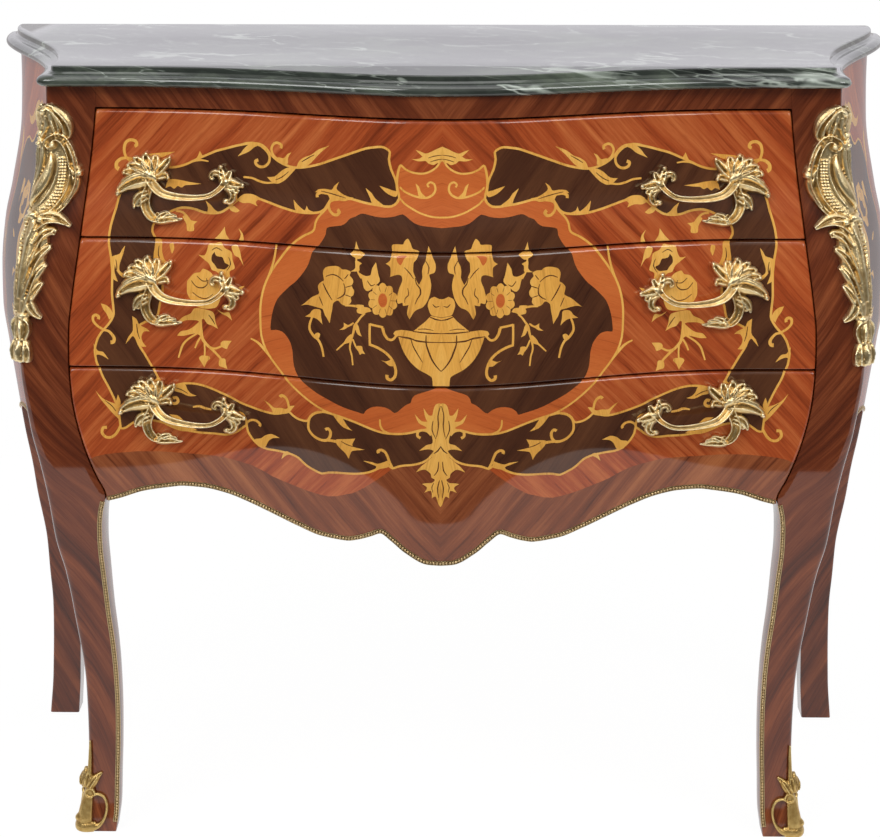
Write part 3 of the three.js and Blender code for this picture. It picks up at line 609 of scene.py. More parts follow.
# Stretches where two outlines meet
cross_foot = [
    (-50, 455.5), (-44, 458), (-38, 459.5), (-30, 460.5), (-22, 462.5), (-15, 466), (-10, 471),
]
ring_foot = [
    (-30, 496.5), (-40, 494.5), (-50, 494), (-60, 494.5), (-70, 497), (-80, 500.5), (-90, 504), (-100, 507),
    (-110, 509.5),
]
ring_top = [
    (0, 718.5), (-6, 718.6), (-13, 719.7), (-22, 722.5), (-30, 726.5), (-38, 731.5), (-43.5, 737),
]
panel_side = [
    (-4, 771), (-8, 767), (-14, 763.5), (-21, 762), (-30, 763), (-37, 766), (-42, 770), (-44, 766),
    (-45.5, 758), (-46, 750), (-45, 743),
]

# The dark band that runs round all three drawers, from its upper end and back to it
band = [
    (-45, 745), (-46.5, 752), (-48, 757), (-52, 766), (-54, 776), (-53, 783), (-57, 786.5), (-62, 788),
    (-70, 787), (-78, 785.5), (-86, 782.5), (-95, 779), (-105, 775), (-115, 771), (-125, 767), (-135, 764),
    (-145, 762), (-153, 761.7), (-160, 763.2), (-167, 766), (-173, 770), (-178, 775), (-182, 780),
    (-188, 783.5), (-196, 784), (-205, 782.5), (-215, 780), (-225, 777), (-235, 774), (-245, 769.5),
    (-255, 765), (-263, 761), (-270, 758), (-278, 756), (-286, 755.5), (-298, 757), (-312, 753),
    (-325, 744), (-334, 733), (-339, 722), (-341, 714), (-344, 705), (-347, 695), (-349, 684), (-349, 675),
    (-347.5, 665), (-346, 655), (-346, 640), (-346.5, 625), (-345.5, 612), (-345, 603), (-347, 598),
    (-351, 592), (-356, 586.5), (-361, 580), (-364, 573), (-366, 564), (-364.5, 552), (-361, 543),
    (-358, 535), (-354, 527), (-350, 518), (-346, 508), (-343, 499), (-342.5, 490), (-342, 482),
    (-341, 477.5), (-336, 478.5), (-330, 483), (-324, 486.5), (-316, 488), (-304, 487), (-292, 484),
    (-280, 480), (-268, 477), (-255, 475.5), (-240, 475.5), (-229, 475), (-221, 477), (-214, 481),
    (-208, 486), (-205, 487), (-204, 481), (-200, 474), (-195, 468.5), (-190, 465), (-183, 463),
    (-174, 462.5), (-165, 461.5), (-157, 460), (-150, 457), (-145, 452.5), (-140, 448.5), (-133, 445),
    (-125, 442), (-118, 444), (-108, 445), (-95, 445.5), (-85, 446.5), (-75, 449), (-67, 453), (-60, 457),
    (-54, 458),
] + cross_foot + [
    (-6, 477), (-6, 490), (-10, 497), (-16, 500), (-24, 498.5),
] + ring_foot + [
    (-117, 511), (-124, 511.5), (-131, 509.5), (-136, 505.5), (-139, 500), (-144, 499.5), (-150, 501),
    (-155, 504), (-160, 508), (-167, 505.2), (-175, 503.7), (-185, 505), (-195, 507.5), (-205, 510.5),
    (-212, 513), (-222, 518), (-232, 522), (-242, 526), (-252, 529), (-262, 530.5), (-272, 530),
    (-280, 528), (-288, 524.5), (-293, 523), (-297, 530), (-300, 537), (-303, 543), (-308, 552),
    (-313, 561), (-318, 569), (-321, 576), (-322, 584), (-320, 590), (-312, 595), (-303, 598), (-298, 604),
    (-296, 614), (-293, 625), (-293, 637), (-295, 647), (-300, 656), (-301, 663), (-300, 670), (-298, 677),
    (-300, 683), (-303, 689), (-302.5, 695), (-299, 700.5), (-294, 704), (-288, 708), (-280, 712),
    (-272, 714.5), (-264, 714.5), (-256, 713), (-248, 710.5), (-238, 710), (-230, 711.5), (-224, 715),
    (-218, 720), (-212, 725), (-205, 728), (-197, 728.7), (-188, 727), (-178, 724), (-168, 721),
    (-158, 718.5), (-150, 717), (-140, 716.5), (-132, 717), (-125, 718.5), (-120, 722), (-117, 727),
    (-114, 731), (-107, 733), (-100, 734), (-92, 733.5), (-85, 732), (-75, 730), (-65, 729), (-58, 728),
    (-51, 728.5), (-46, 732), (-43.5, 737),
]

# The red ring round the centre, down the left from the middle of its top
ring_line = ring_top + [
    (-46, 732), (-51, 728.5), (-58, 728), (-75, 730), (-92, 733.5), (-107, 732), (-114, 730), (-118, 723),
    (-123, 717.5), (-127, 713), (-130, 707), (-131, 701), (-134, 697.5), (-140, 694.5), (-147, 690),
    (-153, 685), (-159, 679), (-165, 671), (-171, 663), (-177, 654), (-182, 644), (-186, 632),
    (-188.3, 618), (-188.5, 602), (-187.6, 587), (-183, 573), (-176, 562), (-168, 552), (-160, 541.5),
    (-150, 532), (-140, 524), (-130, 517.5), (-120, 512.5),
] + ring_foot[::-1] + [
    (-20, 499), (-8, 503), (0, 505),
]
panel_top = [(0, 775)] + panel_side + ring_top[::-1]
# The dark centre with its scalloped edge
centre = [
    (0, 708), (-10, 709), (-20, 710), (-28, 712.5), (-34, 717), (-40, 721), (-48, 718.5), (-58, 717),
    (-68, 717.5), (-78, 719.5), (-83, 719.5), (-88, 716.5), (-94, 714), (-98, 709.5), (-103, 706.5),
    (-112, 705), (-118, 703), (-119, 697), (-122, 691), (-127, 684), (-133, 678), (-135, 672), (-137, 666),
    (-140, 660), (-145, 653), (-151, 646), (-157, 641), (-164, 634), (-170, 627), (-174, 618),
    (-176.5, 608), (-177.5, 600), (-177.5, 593.8), (-172, 594.5), (-165, 593), (-160, 588), (-156.5, 582),
    (-154.5, 574), (-154, 566), (-153, 558), (-150, 550), (-146, 544), (-140, 539), (-130, 532),
    (-118, 526), (-106, 520.5), (-95, 517), (-87, 515.2), (-80, 513.5), (-78, 517), (-73, 521), (-66, 523),
    (-58, 522.5), (-52, 520), (-48, 517), (-44, 519), (-40, 523), (-35, 527), (-31, 529), (-30, 533),
    (-27, 537), (-20, 540), (-12, 542.5), (-6, 544.5), (0, 545.5),
]
# The crossband over the scalloped lower edge, from the side to the middle
crossband = [
    (-392, 430), (-379, 441), (-370, 445), (-360, 447.5), (-345, 449.5), (-325, 451.5), (-300, 452),
    (-275, 451), (-250, 450.5), (-232, 449.3), (-215, 446), (-200, 442.5), (-190, 438), (-178, 432),
    (-165, 427.5), (-152, 423.5), (-140, 420), (-128, 417.6), (-118, 416.5), (-108, 418.2), (-100, 421),
    (-92, 423.5), (-80, 431), (-68, 440), (-57, 449),
] + cross_foot + [
    (0, 475), (0, 330), (-392, 330),
]

# Lines, curls and stems of pale boxwood: width at the start, the middle and the end, and the way
boxwood_lines = [
    ((1.6, 1.5, 2.2), [(-1, 777)] + panel_side),
    ((1.4, 1.8, 1.4), [(-43, 748), (-38, 743.5), (-30, 740), (-22, 738), (-15, 738), (-9.5, 741),
     (-6.7, 746), (-8, 751.5), (-12, 753.5), (-15, 751), (-13.5, 748.5)]),
    ((1.6, 2.0, 2.6), [(-205, 783), (-196, 784.5), (-187, 781.5), (-181, 776.5), (-178, 771), (-179, 765),
     (-183, 761), (-188, 760), (-192, 762), (-193, 765.5), (-190, 767)]),
    ((1.6, 2.0, 2.2), [(-168, 768), (-174, 773), (-176, 779), (-174, 784), (-170, 786), (-165.5, 784),
     (-166, 780.5)]),
    ((1.2, 1.8, 1.6), [(-170, 745.5), (-176, 744.5), (-183, 744), (-190, 745.5), (-197, 748), (-206, 748.5)]),
    ((1.8, 2.2, 2.6), [(-113, 733), (-116, 728), (-115, 721), (-111, 717), (-107, 717), (-105, 720),
     (-107, 722)]),
    ((2.6, 2.2, 2.4), [(-113, 738), (-119, 738), (-124, 738), (-128, 736), (-128, 733)]),
    ((1.8, 2.4, 2.6), [(-317, 761.5), (-324, 761), (-330, 765.5), (-332, 773), (-330.5, 780),
     (-326, 783.5), (-320, 782.5), (-318.5, 778.5), (-321, 777)]),
    ((1.6, 2.6, 3.4), [(-320, 763), (-328, 764.5), (-335, 764), (-340, 760), (-340.5, 755), (-338, 753)]),
    ((1.4, 1.8, 1.0), [(-262, 761.5), (-256, 763.5), (-250, 764), (-243, 763)]),
    ((1.6, 1.8, 2.4), [(-278, 711), (-271, 710), (-266, 705), (-262, 699)]),
    ((1.8, 2.2, 2.6), [(-356, 586.5), (-362, 590), (-366.5, 595), (-367, 600), (-364, 602), (-361, 600),
     (-361.5, 597.5)]),
    ((1.8, 2.4, 3.2), [(-356, 586), (-351, 585), (-347, 581), (-345, 577), (-346, 573.5), (-349, 573)]),
    ((1.4, 1.8, 1.4), [(-171, 683), (-172.5, 672), (-175, 662), (-179, 651)]),
    ((1.2, 2.2, 1.8), [(-199, 583), (-194, 581), (-189, 577.5), (-184, 572), (-178, 565)]),
    ((1.6, 2.2, 2.4), [(-124, 511), (-131, 509), (-136.5, 504), (-138.5, 497), (-138, 490), (-133.5, 484),
     (-127, 480.5), (-120, 480), (-116, 484), (-115, 490), (-117.5, 493.5), (-120.5, 492)]),
    ((2.0, 2.2, 2.6), [(-124, 480), (-116, 480.5), (-108, 480)]),
    ((1.8, 2.0, 2.4), [(-206, 486), (-204.5, 491), (-199.5, 494.3), (-194, 493.5), (-190.5, 490),
     (-191.5, 488)]),
    ((1.8, 2.2, 2.6), [(-159, 511), (-160, 518), (-162.5, 523), (-166.5, 525), (-168.5, 523)]),
    ((2.0, 2.2, 2.6), [(-50, 456), (-53, 462), (-55, 468), (-57.5, 473), (-61.5, 475.3), (-65, 474),
     (-64.5, 471.5)]),
    ((1.8, 2.0, 2.4), [(-10, 494), (-13.5, 498), (-19, 499.5), (-23.5, 497.5), (-24, 493), (-21, 490.8)]),
    ((1.2, 1.8, 1.6), [(-63, 509), (-62.5, 502), (-59.5, 497), (-54, 494.5)]),
    ((2.2, 2.4, 2.6), [(-342, 480), (-346.5, 472), (-352, 467.5), (-358, 467.5), (-362, 472.5),
     (-360.5, 478), (-356.5, 478.5)]),
    ((2.4, 2.4, 2.6), [(-291, 522), (-290, 514), (-287, 508.5), (-282, 507), (-278.7, 510), (-280.5, 514),
     (-284, 513)]),
    ((1.2, 2.2, 1.6), [(-222, 498.5), (-215, 501.5), (-209.5, 500), (-206, 494.5), (-205, 487.5)]),
    ((1.2, 2.4, 1.6), [(-263, 504), (-256, 505.5), (-250, 503.5), (-243, 502.5)]),
    ((1.6, 2.2, 1.6), [(-133.5, 611), (-136, 604), (-136, 598), (-132, 592), (-127, 588), (-123.5, 581),
     (-121.5, 571)]),
    ((1.6, 2.0, 2.4), [(-46, 599), (-48, 596), (-51, 594), (-55, 595), (-58.5, 600), (-60, 606)]),
    ((1.8, 1.8, 1.8), [(-59.5, 606.5), (-66, 607.5), (-73.5, 608.8)]),
    ((1.8, 1.8, 1.8), [(-73.3, 609.5), (-73.5, 598), (-73.2, 587)]),
    ((2.0, 2.2, 2.6), [(-74, 588), (-66, 585.5), (-57, 580.5), (-50, 573), (-46.5, 563), (-47.5, 556),
     (-51.5, 552.3), (-55.3, 554), (-55.5, 557.5)]),
    ((1.2, 1.8, 2.0), [(-99, 626), (-92, 626.5), (-84, 625.5), (-76, 623)]),
    ((1.4, 1.8, 1.2), [(-78.5, 619.5), (-82.5, 615.5), (-86, 610.5), (-89, 606), (-90.5, 598.5),
     (-93, 590), (-94, 582.5), (-92, 575), (-91, 565)]),
    ((1.4, 1.4, 1.0), [(-92, 594), (-100, 587), (-108, 579)]),
    ((1.4, 1.4, 1.4), [(-91, 592), (-88, 585), (-85, 581)]),
    ((1.2, 1.4, 1.4), [(-90, 609), (-95, 605.5), (-100, 604)]),
    ((1.4, 1.4, 1.4), [(-87.5, 678), (-87, 670), (-86, 662), (-82, 655)]),
    ((2.6, 2.4, 1.6), [(-253, 600), (-252.5, 590), (-251, 580), (-247, 574), (-240, 568), (-233, 561),
     (-230, 557)]),
    ((1.4, 1.8, 1.2), [(-256, 585), (-266, 578.5), (-272, 572), (-275, 564), (-277, 558)]),
    ((1.4, 1.6, 1.2), [(-252, 582), (-256, 576), (-259, 569)]),
    ((1.6, 1.6, 1.6), [(-247, 574), (-241, 570), (-236, 570), (-230, 573)]),
    ((1.4, 1.4, 1.4), [(-249, 576), (-248.5, 568), (-249, 560)]),
    ((1.6, 2.0, 1.2), [(-262, 604), (-269, 601.5), (-275, 597), (-281, 592)]),
]

# Leaves, buds and blossoms of the same boxwood
boxwood_leaves = [
    [(0, 789.5), (-6, 787), (-12, 784), (-17, 782.5), (-22, 784.5), (-27, 786), (-23, 782), (-20, 779.5),
     (-24, 777), (-31, 776.5), (-24, 774.5), (-17, 775), (-14, 772.5), (-9, 771), (-5, 773), (0, 775)],
    [(-27, 752), (-23.5, 749), (-21, 743), (-16, 738.5), (-23, 738.5), (-25, 745)],
    [(-212, 769.5), (-208, 774), (-205, 778), (-198, 783.5), (-187, 783), (-194, 780), (-200, 775)],
    [(-173, 770), (-168, 771), (-163, 770.5), (-159, 775), (-155, 777), (-158.5, 771), (-159, 765),
     (-166, 765.5)],
    [(-150, 761), (-147, 768.5), (-141, 773), (-134, 776), (-126, 782), (-115, 786.5), (-124, 779),
     (-130, 772.5), (-135, 767), (-141, 763)],
    [(-150, 761), (-156, 754), (-162, 748), (-169, 744), (-175, 744.5), (-181, 750), (-173, 751),
     (-166, 757), (-159, 761)],
    [(-213, 725), (-206, 731), (-196, 731.5), (-188, 728), (-193, 724), (-191, 719.5), (-199, 722.5),
     (-207, 722)],
    [(-153, 729), (-148.5, 724), (-144, 720.5), (-141, 719), (-139, 724), (-137, 720), (-131, 718),
     (-140, 716), (-150, 716.5)],
    [(-130, 738), (-127, 741), (-120, 742), (-113, 741.5), (-110, 746), (-105, 750), (-108, 743.5),
     (-104, 739.5), (-97, 736), (-90, 735), (-99, 731), (-107, 731.5), (-114, 731), (-117, 736),
     (-124, 737.5)],
    [(-78, 745.5), (-72, 741), (-68, 735.5), (-62, 731), (-57, 727.5), (-70, 728.5), (-73, 735)],
    [(-64, 748.5), (-57, 746.5), (-51, 744.5), (-45, 743), (-47, 738), (-54, 740), (-59, 743.5)],
    [(-252, 773.5), (-250, 770), (-249, 766.5), (-259, 762.5), (-255, 767)],
    [(-289, 734), (-287, 741), (-282, 743.5), (-272, 742.5), (-264, 741), (-251, 739.5), (-261, 738),
     (-268, 737.5), (-272, 735), (-276, 736.5), (-280, 733.5), (-284, 736)],
    [(-246.5, 722.5), (-241, 718.5), (-237, 714), (-232, 711), (-244, 709.8), (-244, 716)],
    [(-221, 719), (-216, 718.5), (-210, 714), (-214, 712), (-220, 714)],
    [(-268, 707), (-262, 702), (-255, 701), (-259, 697.5), (-259, 691.5), (-266, 691), (-267, 698),
     (-271, 705)],
    [(-237, 684), (-231, 690), (-226, 697), (-225, 690), (-221, 684)],
    [(-211, 684), (-209, 690), (-211.5, 696), (-207, 691), (-206, 684)],
    [(-319, 762), (-309, 768), (-299, 770), (-289, 771), (-278, 772), (-287, 768), (-300, 763), (-311, 759)],
    [(-348, 661), (-344, 664), (-338, 666), (-335, 671), (-332, 674.5), (-334.5, 665), (-338, 655),
     (-338, 648.5), (-332, 645), (-324, 646), (-328, 640), (-335, 641.5), (-341, 648), (-343, 655),
     (-343.5, 647), (-340, 637), (-346, 641)],
    [(-358.5, 614), (-353, 612.5), (-348, 608), (-346, 602), (-350, 597), (-352.5, 603), (-356, 608)],
    [(-367, 572), (-363, 564), (-357, 562.5), (-351.5, 554.5), (-358, 558.5), (-364, 559.5), (-366, 553)],
    [(-299, 683), (-293, 680), (-293, 670), (-291, 662), (-287.5, 656.5), (-291, 652), (-298, 655),
     (-302, 662), (-301, 672)],
    [(-325.5, 601), (-321, 598), (-318, 592), (-311, 588.5), (-307, 585), (-313, 585), (-316, 580),
     (-315, 574), (-311, 569), (-317, 569), (-321.5, 575), (-325, 580), (-329, 576), (-333, 571.5),
     (-330, 579), (-325, 586)],
    [(-367, 520.5), (-360, 512), (-352, 507.5), (-346, 505), (-342.5, 497), (-343, 488), (-349, 494),
     (-356, 503), (-362, 511)],
    [(-343, 516), (-340.5, 508), (-342, 500), (-346, 505)],
    [(-289, 494.5), (-280, 494), (-274, 489), (-267, 483), (-259, 478), (-272, 477.5), (-279, 484),
     (-285, 491)],
    [(-302, 487.5), (-292, 488), (-282, 485), (-270, 480.5), (-262, 477), (-275, 476), (-288, 480)],
    [(-288, 524.5), (-279, 528.5), (-271, 529.5), (-268, 523), (-264, 519), (-258.5, 517), (-267, 516),
     (-275, 519.5), (-282, 521)],
    [(-312, 536), (-306, 532.5), (-301.5, 534), (-300, 539), (-296, 532), (-292.5, 522), (-299, 526),
     (-304, 528)],
    [(-186, 518), (-180, 514.5), (-175, 510.5), (-168, 511), (-162, 510.5), (-158, 514), (-153, 515),
     (-156.5, 510), (-160, 506), (-168, 504), (-176, 504.5), (-178, 509)],
    [(-197, 472.5), (-190, 474.5), (-185, 478.5), (-178, 480.5), (-169.5, 477), (-177, 476), (-182, 472),
     (-186, 464.5), (-193, 465)],
    [(-157, 460.5), (-163, 458), (-168.5, 453), (-166, 460), (-162, 463)],
    [(-81, 461.5), (-72, 461), (-66, 459.5), (-60, 461.5), (-55, 464), (-54, 457), (-63, 454),
     (-69, 452.5), (-67, 456.5), (-74, 459)],
    [(-112, 509), (-107, 502), (-101, 496.5), (-92, 494), (-97, 498.5), (-101, 505), (-105, 509.5)],
    [(-109, 482.5), (-98, 484), (-89, 485.5), (-92, 479), (-91, 476), (-79, 474), (-92, 471.5),
     (-94.5, 467), (-96, 462), (-99.5, 468), (-105, 473), (-109, 478)],
    [(0, 528.5), (-5, 528), (-7.5, 523), (-9, 516), (-13, 516.5), (-18, 524), (-16.5, 515), (-14, 509),
     (-20, 509.5), (-27, 517), (-23, 507.5), (-16, 503.5), (-12, 499), (-9.5, 494), (-8.5, 485.5),
     (-15, 483), (-22.5, 476.5), (-14, 478.5), (-7.5, 477), (-9, 470), (-15, 464), (-21, 458.5),
     (-25.5, 452.5), (-17, 456), (-10.5, 451.5), (-9.5, 447), (-6, 444.5), (-9, 441), (-15, 440.5),
     (-19.5, 439.5), (-14, 435.5), (-17, 429.5), (-10, 432), (-9, 423.5), (-5, 425.5), (-2, 416.5),
     (0, 413.5)],
    # Spray behind the middle pull
    [(-254.5, 667), (-248, 666.5), (-245, 672), (-243, 678.5), (-236, 679.5), (-230, 680.5), (-226, 675),
     (-219, 671.5), (-218, 664), (-215.5, 655), (-221, 651.5), (-221, 645), (-228, 645), (-235, 650.5),
     (-240, 652), (-243, 658), (-248, 662)],
    [(-219, 677), (-216, 668.5), (-211, 666), (-206, 658), (-208.5, 666), (-210, 673), (-213, 679)],
    [(-266.4, 639), (-266.9, 631.5), (-266.4, 626), (-262, 618.5), (-257, 613.5), (-250.4, 611.5),
     (-243, 611.5), (-235.5, 613.5), (-231.3, 622), (-231, 632), (-235, 641), (-241.5, 649.5),
     (-249.4, 652.8), (-252.6, 649), (-259, 647.5), (-264.3, 642)],
    [(-278, 592), (-275.5, 597.5), (-270.5, 602), (-263.2, 605.5), (-259, 611), (-250, 611), (-240, 608.5),
     (-237.7, 605), (-236.6, 597.5), (-233.9, 590.5), (-239.8, 593.7), (-245.5, 595.5), (-249.4, 600.6),
     (-253.5, 597.5), (-257, 598.5), (-264.5, 598.5), (-270.5, 597.4)],
    [(-235, 611), (-228, 608), (-222, 609), (-219, 600.5), (-224, 604.5), (-230, 607)],
    [(-216, 632), (-212, 635.5), (-205, 637.5), (-211, 631.5)],
    [(-278, 581.5), (-273.8, 586.3), (-266.4, 588), (-260, 592), (-254, 597.5), (-250.5, 588), (-252, 582),
     (-257, 584.5), (-263.2, 583.6), (-271.5, 581.5)],
    [(-231.5, 575.5), (-228.5, 578.5), (-219.5, 579), (-223, 574), (-225, 570), (-230.5, 572)],
    [(-255, 558.5), (-251.5, 561.5), (-244, 561), (-243, 558.5), (-246.5, 555), (-249.5, 548.5),
     (-251.8, 553)],
    [(-232.8, 558.5), (-227, 559.5), (-226, 554), (-224.5, 548.5), (-229, 550), (-233.6, 551.7)],
    [(-285, 677), (-281, 678), (-280, 672), (-282.5, 667), (-284, 671)],
    # Spray over the urn: a rose with its bud and leaves
    [(-122, 658), (-120, 662.5), (-115.5, 664.5), (-109, 665.5), (-104.5, 664.5), (-102, 662.5),
     (-97, 662.5), (-93, 660.5), (-94, 657), (-91, 653.5), (-90.5, 650), (-92, 646.5), (-89.5, 641.5),
     (-90.5, 637), (-93, 635), (-92.5, 630.5), (-95.5, 627), (-99.5, 626), (-103, 627.5), (-106, 630.5),
     (-109, 629.5), (-111.5, 627), (-112.5, 620), (-113.5, 615.5), (-115, 606.5), (-118, 611.5),
     (-120, 614.5), (-122, 620), (-124, 621), (-129.5, 622), (-134, 623), (-140, 623.5), (-145, 622),
     (-139, 627), (-134, 631.5), (-127.5, 635), (-126, 637), (-127, 641), (-127, 644.5), (-124, 648),
     (-121, 650), (-121.5, 653.5)],
    [(-141, 611), (-136, 614.5), (-133.5, 618), (-129.5, 620), (-124.5, 619), (-124, 612.5),
     (-122.5, 604.5), (-126, 608), (-130.5, 610.5), (-137, 611)],
    [(-84.5, 660.5), (-80.5, 658.5), (-76.5, 657.5), (-72.5, 659), (-71, 665.5), (-67, 672),
     (-64.5, 659.5), (-63, 653), (-70, 646.5), (-73, 643.5), (-76.5, 642.5), (-79.5, 645.5), (-81.5, 654)],
    [(-93.5, 678.5), (-90, 682), (-88.5, 686), (-87.5, 692), (-85.5, 686), (-83, 682), (-78.5, 679.5),
     (-80.5, 677), (-84.5, 674), (-89, 675.5)],
    [(-88.5, 672), (-85.5, 672), (-81.5, 670), (-84, 667.5), (-84.5, 662), (-93.5, 661), (-88.5, 664.5)],
    # The tall blossom and its bud
    [(-50.5, 684), (-50.5, 690), (-44.5, 691), (-39.5, 691), (-38, 694), (-34.5, 697), (-31.5, 692),
     (-29.5, 687), (-23, 684.5), (-25.5, 676.5), (-28.5, 673), (-29, 664.5), (-27, 659.5), (-25.5, 655),
     (-23, 651), (-20.5, 656), (-19.5, 659), (-20, 664.5), (-19, 670), (-16.5, 675), (-15.5, 680.5),
     (-13.5, 690), (-11, 684), (-9.5, 679.5), (-6.5, 673), (-6, 668), (-7.5, 663.5), (-12.5, 661.5),
     (-11.5, 657), (-10.5, 650.5), (-11.5, 643.5), (-13.5, 637), (-16.5, 631.5), (-20, 628), (-24, 626.5),
     (-27.5, 624), (-29.5, 621), (-32.5, 616), (-35, 621), (-34.5, 626.5), (-33.5, 630.5), (-39, 629.5),
     (-40, 632.5), (-44.5, 631.5), (-45.5, 637), (-44.5, 642), (-43, 647.5), (-41, 652), (-40, 656),
     (-41, 659.5), (-44.5, 660.5), (-48.5, 659.5), (-52.5, 658), (-52, 662.5), (-52.5, 668), (-57, 671),
     (-53, 674), (-51.5, 678.5)],
    [(-91, 626.5), (-86, 628), (-80, 628), (-79, 626), (-74, 625.5), (-71.5, 622), (-76.5, 620.5),
     (-80, 618.5), (-86, 619.5), (-87, 622), (-86, 624.5)],
    [(-87.5, 609.5), (-85, 606), (-83.5, 600), (-81.5, 595.5), (-86, 597.5), (-88, 602), (-90, 598.5)],
    [(-105, 600.5), (-100.5, 604), (-100.5, 608.5), (-96.5, 606.5), (-91, 606.5), (-95.5, 604.5),
     (-99.5, 601.5)],
    [(-98, 592), (-93, 597), (-91, 594), (-94, 588.5), (-101, 586)],
    [(-87, 585), (-81.5, 585.5), (-80.5, 581.5), (-78, 577.5), (-81.5, 578), (-83.5, 576.5), (-85, 579.5)],
    [(-131.5, 592), (-128.5, 595.5), (-125, 594.5), (-127, 589.5)],
    [(-62, 572.5), (-56.5, 571.5), (-50.5, 573.5), (-48, 567), (-53, 567), (-57, 570)],
]

# The urn: the knob, the lid, the rim and the fluted bowl on its foot
urn_parts = [
    [(0, 637), (-3, 637.5), (-7, 639.5), (-12, 637), (-14, 631), (-12.5, 625), (-10, 620.5), (0, 618.5)],
    [(0, 618), (-11, 620), (-16, 614.5), (-22, 609.5), (-28.5, 604), (-15, 602.8), (0, 602.4)],
    [(0, 601.8), (-15, 602), (-30, 603.8), (-40, 604.8), (-47, 603.5), (-49, 600.5), (-46, 597.5),
     (-38, 597), (-25, 595), (-12, 593.5), (0, 593)],
    [(0, 592.4), (-12, 593), (-25, 594.4), (-38, 596.4), (-43.8, 597.5), (-42, 591), (-38, 581.5),
     (-31.5, 572), (-23, 564.5), (-14.5, 560), (-9.3, 556), (-8.5, 545), (0, 545)],
]

# Fine dark lines sawn into the boxwood
engraved_lines = [
    (0.8, [(-122, 647), (-118, 639), (-112.5, 630.5)]),
    (0.8, [(-107, 632.5), (-103, 634.5), (-99.5, 638), (-99, 643.5), (-100.5, 648.5)]),
    (0.7, [(-119, 654), (-112.5, 656.5), (-106, 655), (-100.5, 650.5)]),
    (0.6, [(-99.5, 653), (-95.5, 658)]),
    (0.6, [(-98.5, 644.5), (-91.5, 647)]),
    (0.6, [(-99, 637), (-93, 635.5)]),
    (0.6, [(-126, 633), (-122, 624)]),
    (0.7, [(-31, 595.5), (-28.5, 588), (-23, 578.5), (-19, 572)]),
    (1.0, [(-15.5, 600), (-15.5, 592), (-13.5, 585), (-9.5, 575), (-4, 567), (0, 563)]),
    (0.8, [(-45, 598), (-33, 597), (-25, 594), (-14, 593), (0, 593)]),
    (0.8, [(-29, 603.7), (-15, 602.4), (0, 602)]),
    (0.8, [(-13, 619.5), (-6, 616.5), (0, 615.5)]),
    (0.6, [(-9, 632), (-6, 629), (-2, 630)]),
    (0.5, [(-24, 606), (-16, 606.5), (-8, 605)]),
    (0.6, [(-38, 668), (-32.5, 662.5), (-28.5, 657)]),
    (0.8, [(-27, 658), (-25.5, 652), (-22, 647.5), (-21.5, 642), (-24.5, 637), (-27, 631.5)]),
    (0.6, [(-34.5, 647.5), (-33.5, 641), (-37, 637), (-37.5, 632.5)]),
    (0.6, [(-17, 676), (-13, 669), (-14, 662)]),
    (0.6, [(-76, 653), (-72, 648), (-68, 650)]),
    (0.7, [(-262, 640), (-257, 634), (-250, 633), (-245, 637), (-246, 643)]),
    (0.6, [(-261, 628), (-254, 623), (-246, 622), (-239, 627)]),
    (0.6, [(-256, 645), (-250, 640), (-243, 641)]),
    (0.6, [(-253, 617), (-247, 616), (-241, 618)]),
    (0.6, [(-240, 672), (-235, 675), (-229, 672)]),
    (0.6, [(-222, 666), (-220, 659), (-224, 652)]),
    (0.6, [(-244, 605), (-240, 600), (-237, 595)]),
    (0.7, [(-0.6, 526), (-3, 515), (-2.5, 503), (-4.5, 492)]),
    (0.6, [(-8, 510), (-9, 500), (-5, 490)]),
    (0.8, [(0, 482), (-3, 477), (-7, 474)]),
    (0.7, [(-2, 465), (-3, 455), (-7, 449)]),
    (0.7, [(-1, 444), (-3, 435), (-2, 424)]),
    (0.5, [(-7, 441), (-9, 436), (-8, 430)]),
    (0.6, [(-144, 768), (-138, 772), (-131, 776)]),
    (0.6, [(-172, 747.5), (-165, 751), (-158, 757)]),
    (0.6, [(-124, 739.5), (-115, 738), (-106, 736), (-98, 734)]),
    (0.5, [(-14, 778), (-8, 780), (0, 781)]),
    (0.5, [(-12, 774), (-6, 776), (0, 777)]),
    (0.6, [(-342, 660), (-341, 652), (-343, 645)]),
    (0.6, [(-296, 675), (-297, 666), (-294, 658)]),
    (0.6, [(-321, 593), (-320, 584), (-318, 577)]),
    (0.6, [(-357, 509), (-350, 503), (-346, 497)]),
    (0.6, [(-282, 490), (-276, 484), (-268, 480)]),
    (0.6, [(-282, 525), (-275, 523), (-268, 519)]),
    (0.6, [(-104, 481), (-98, 478), (-90, 476)]),
]
daisy = (-60, 634, 14.4, 16.6)
daisy_heart = (4.6, 7.2)
blossom_heart = [(-240.3, 661.5), (-239.8, 667), (-237, 670.5), (-235.5, 667), (-232, 666), (-228.6, 665.5),
                 (-226, 660), (-221.7, 657.6), (-226, 653.3), (-231, 653.4), (-234.5, 653.8), (-236.6, 657)]
upper_heart = [(-45.5, 678.5), (-45.5, 674), (-42, 670), (-39.5, 674), (-38, 677), (-35, 679.5),
               (-40, 679.8)]


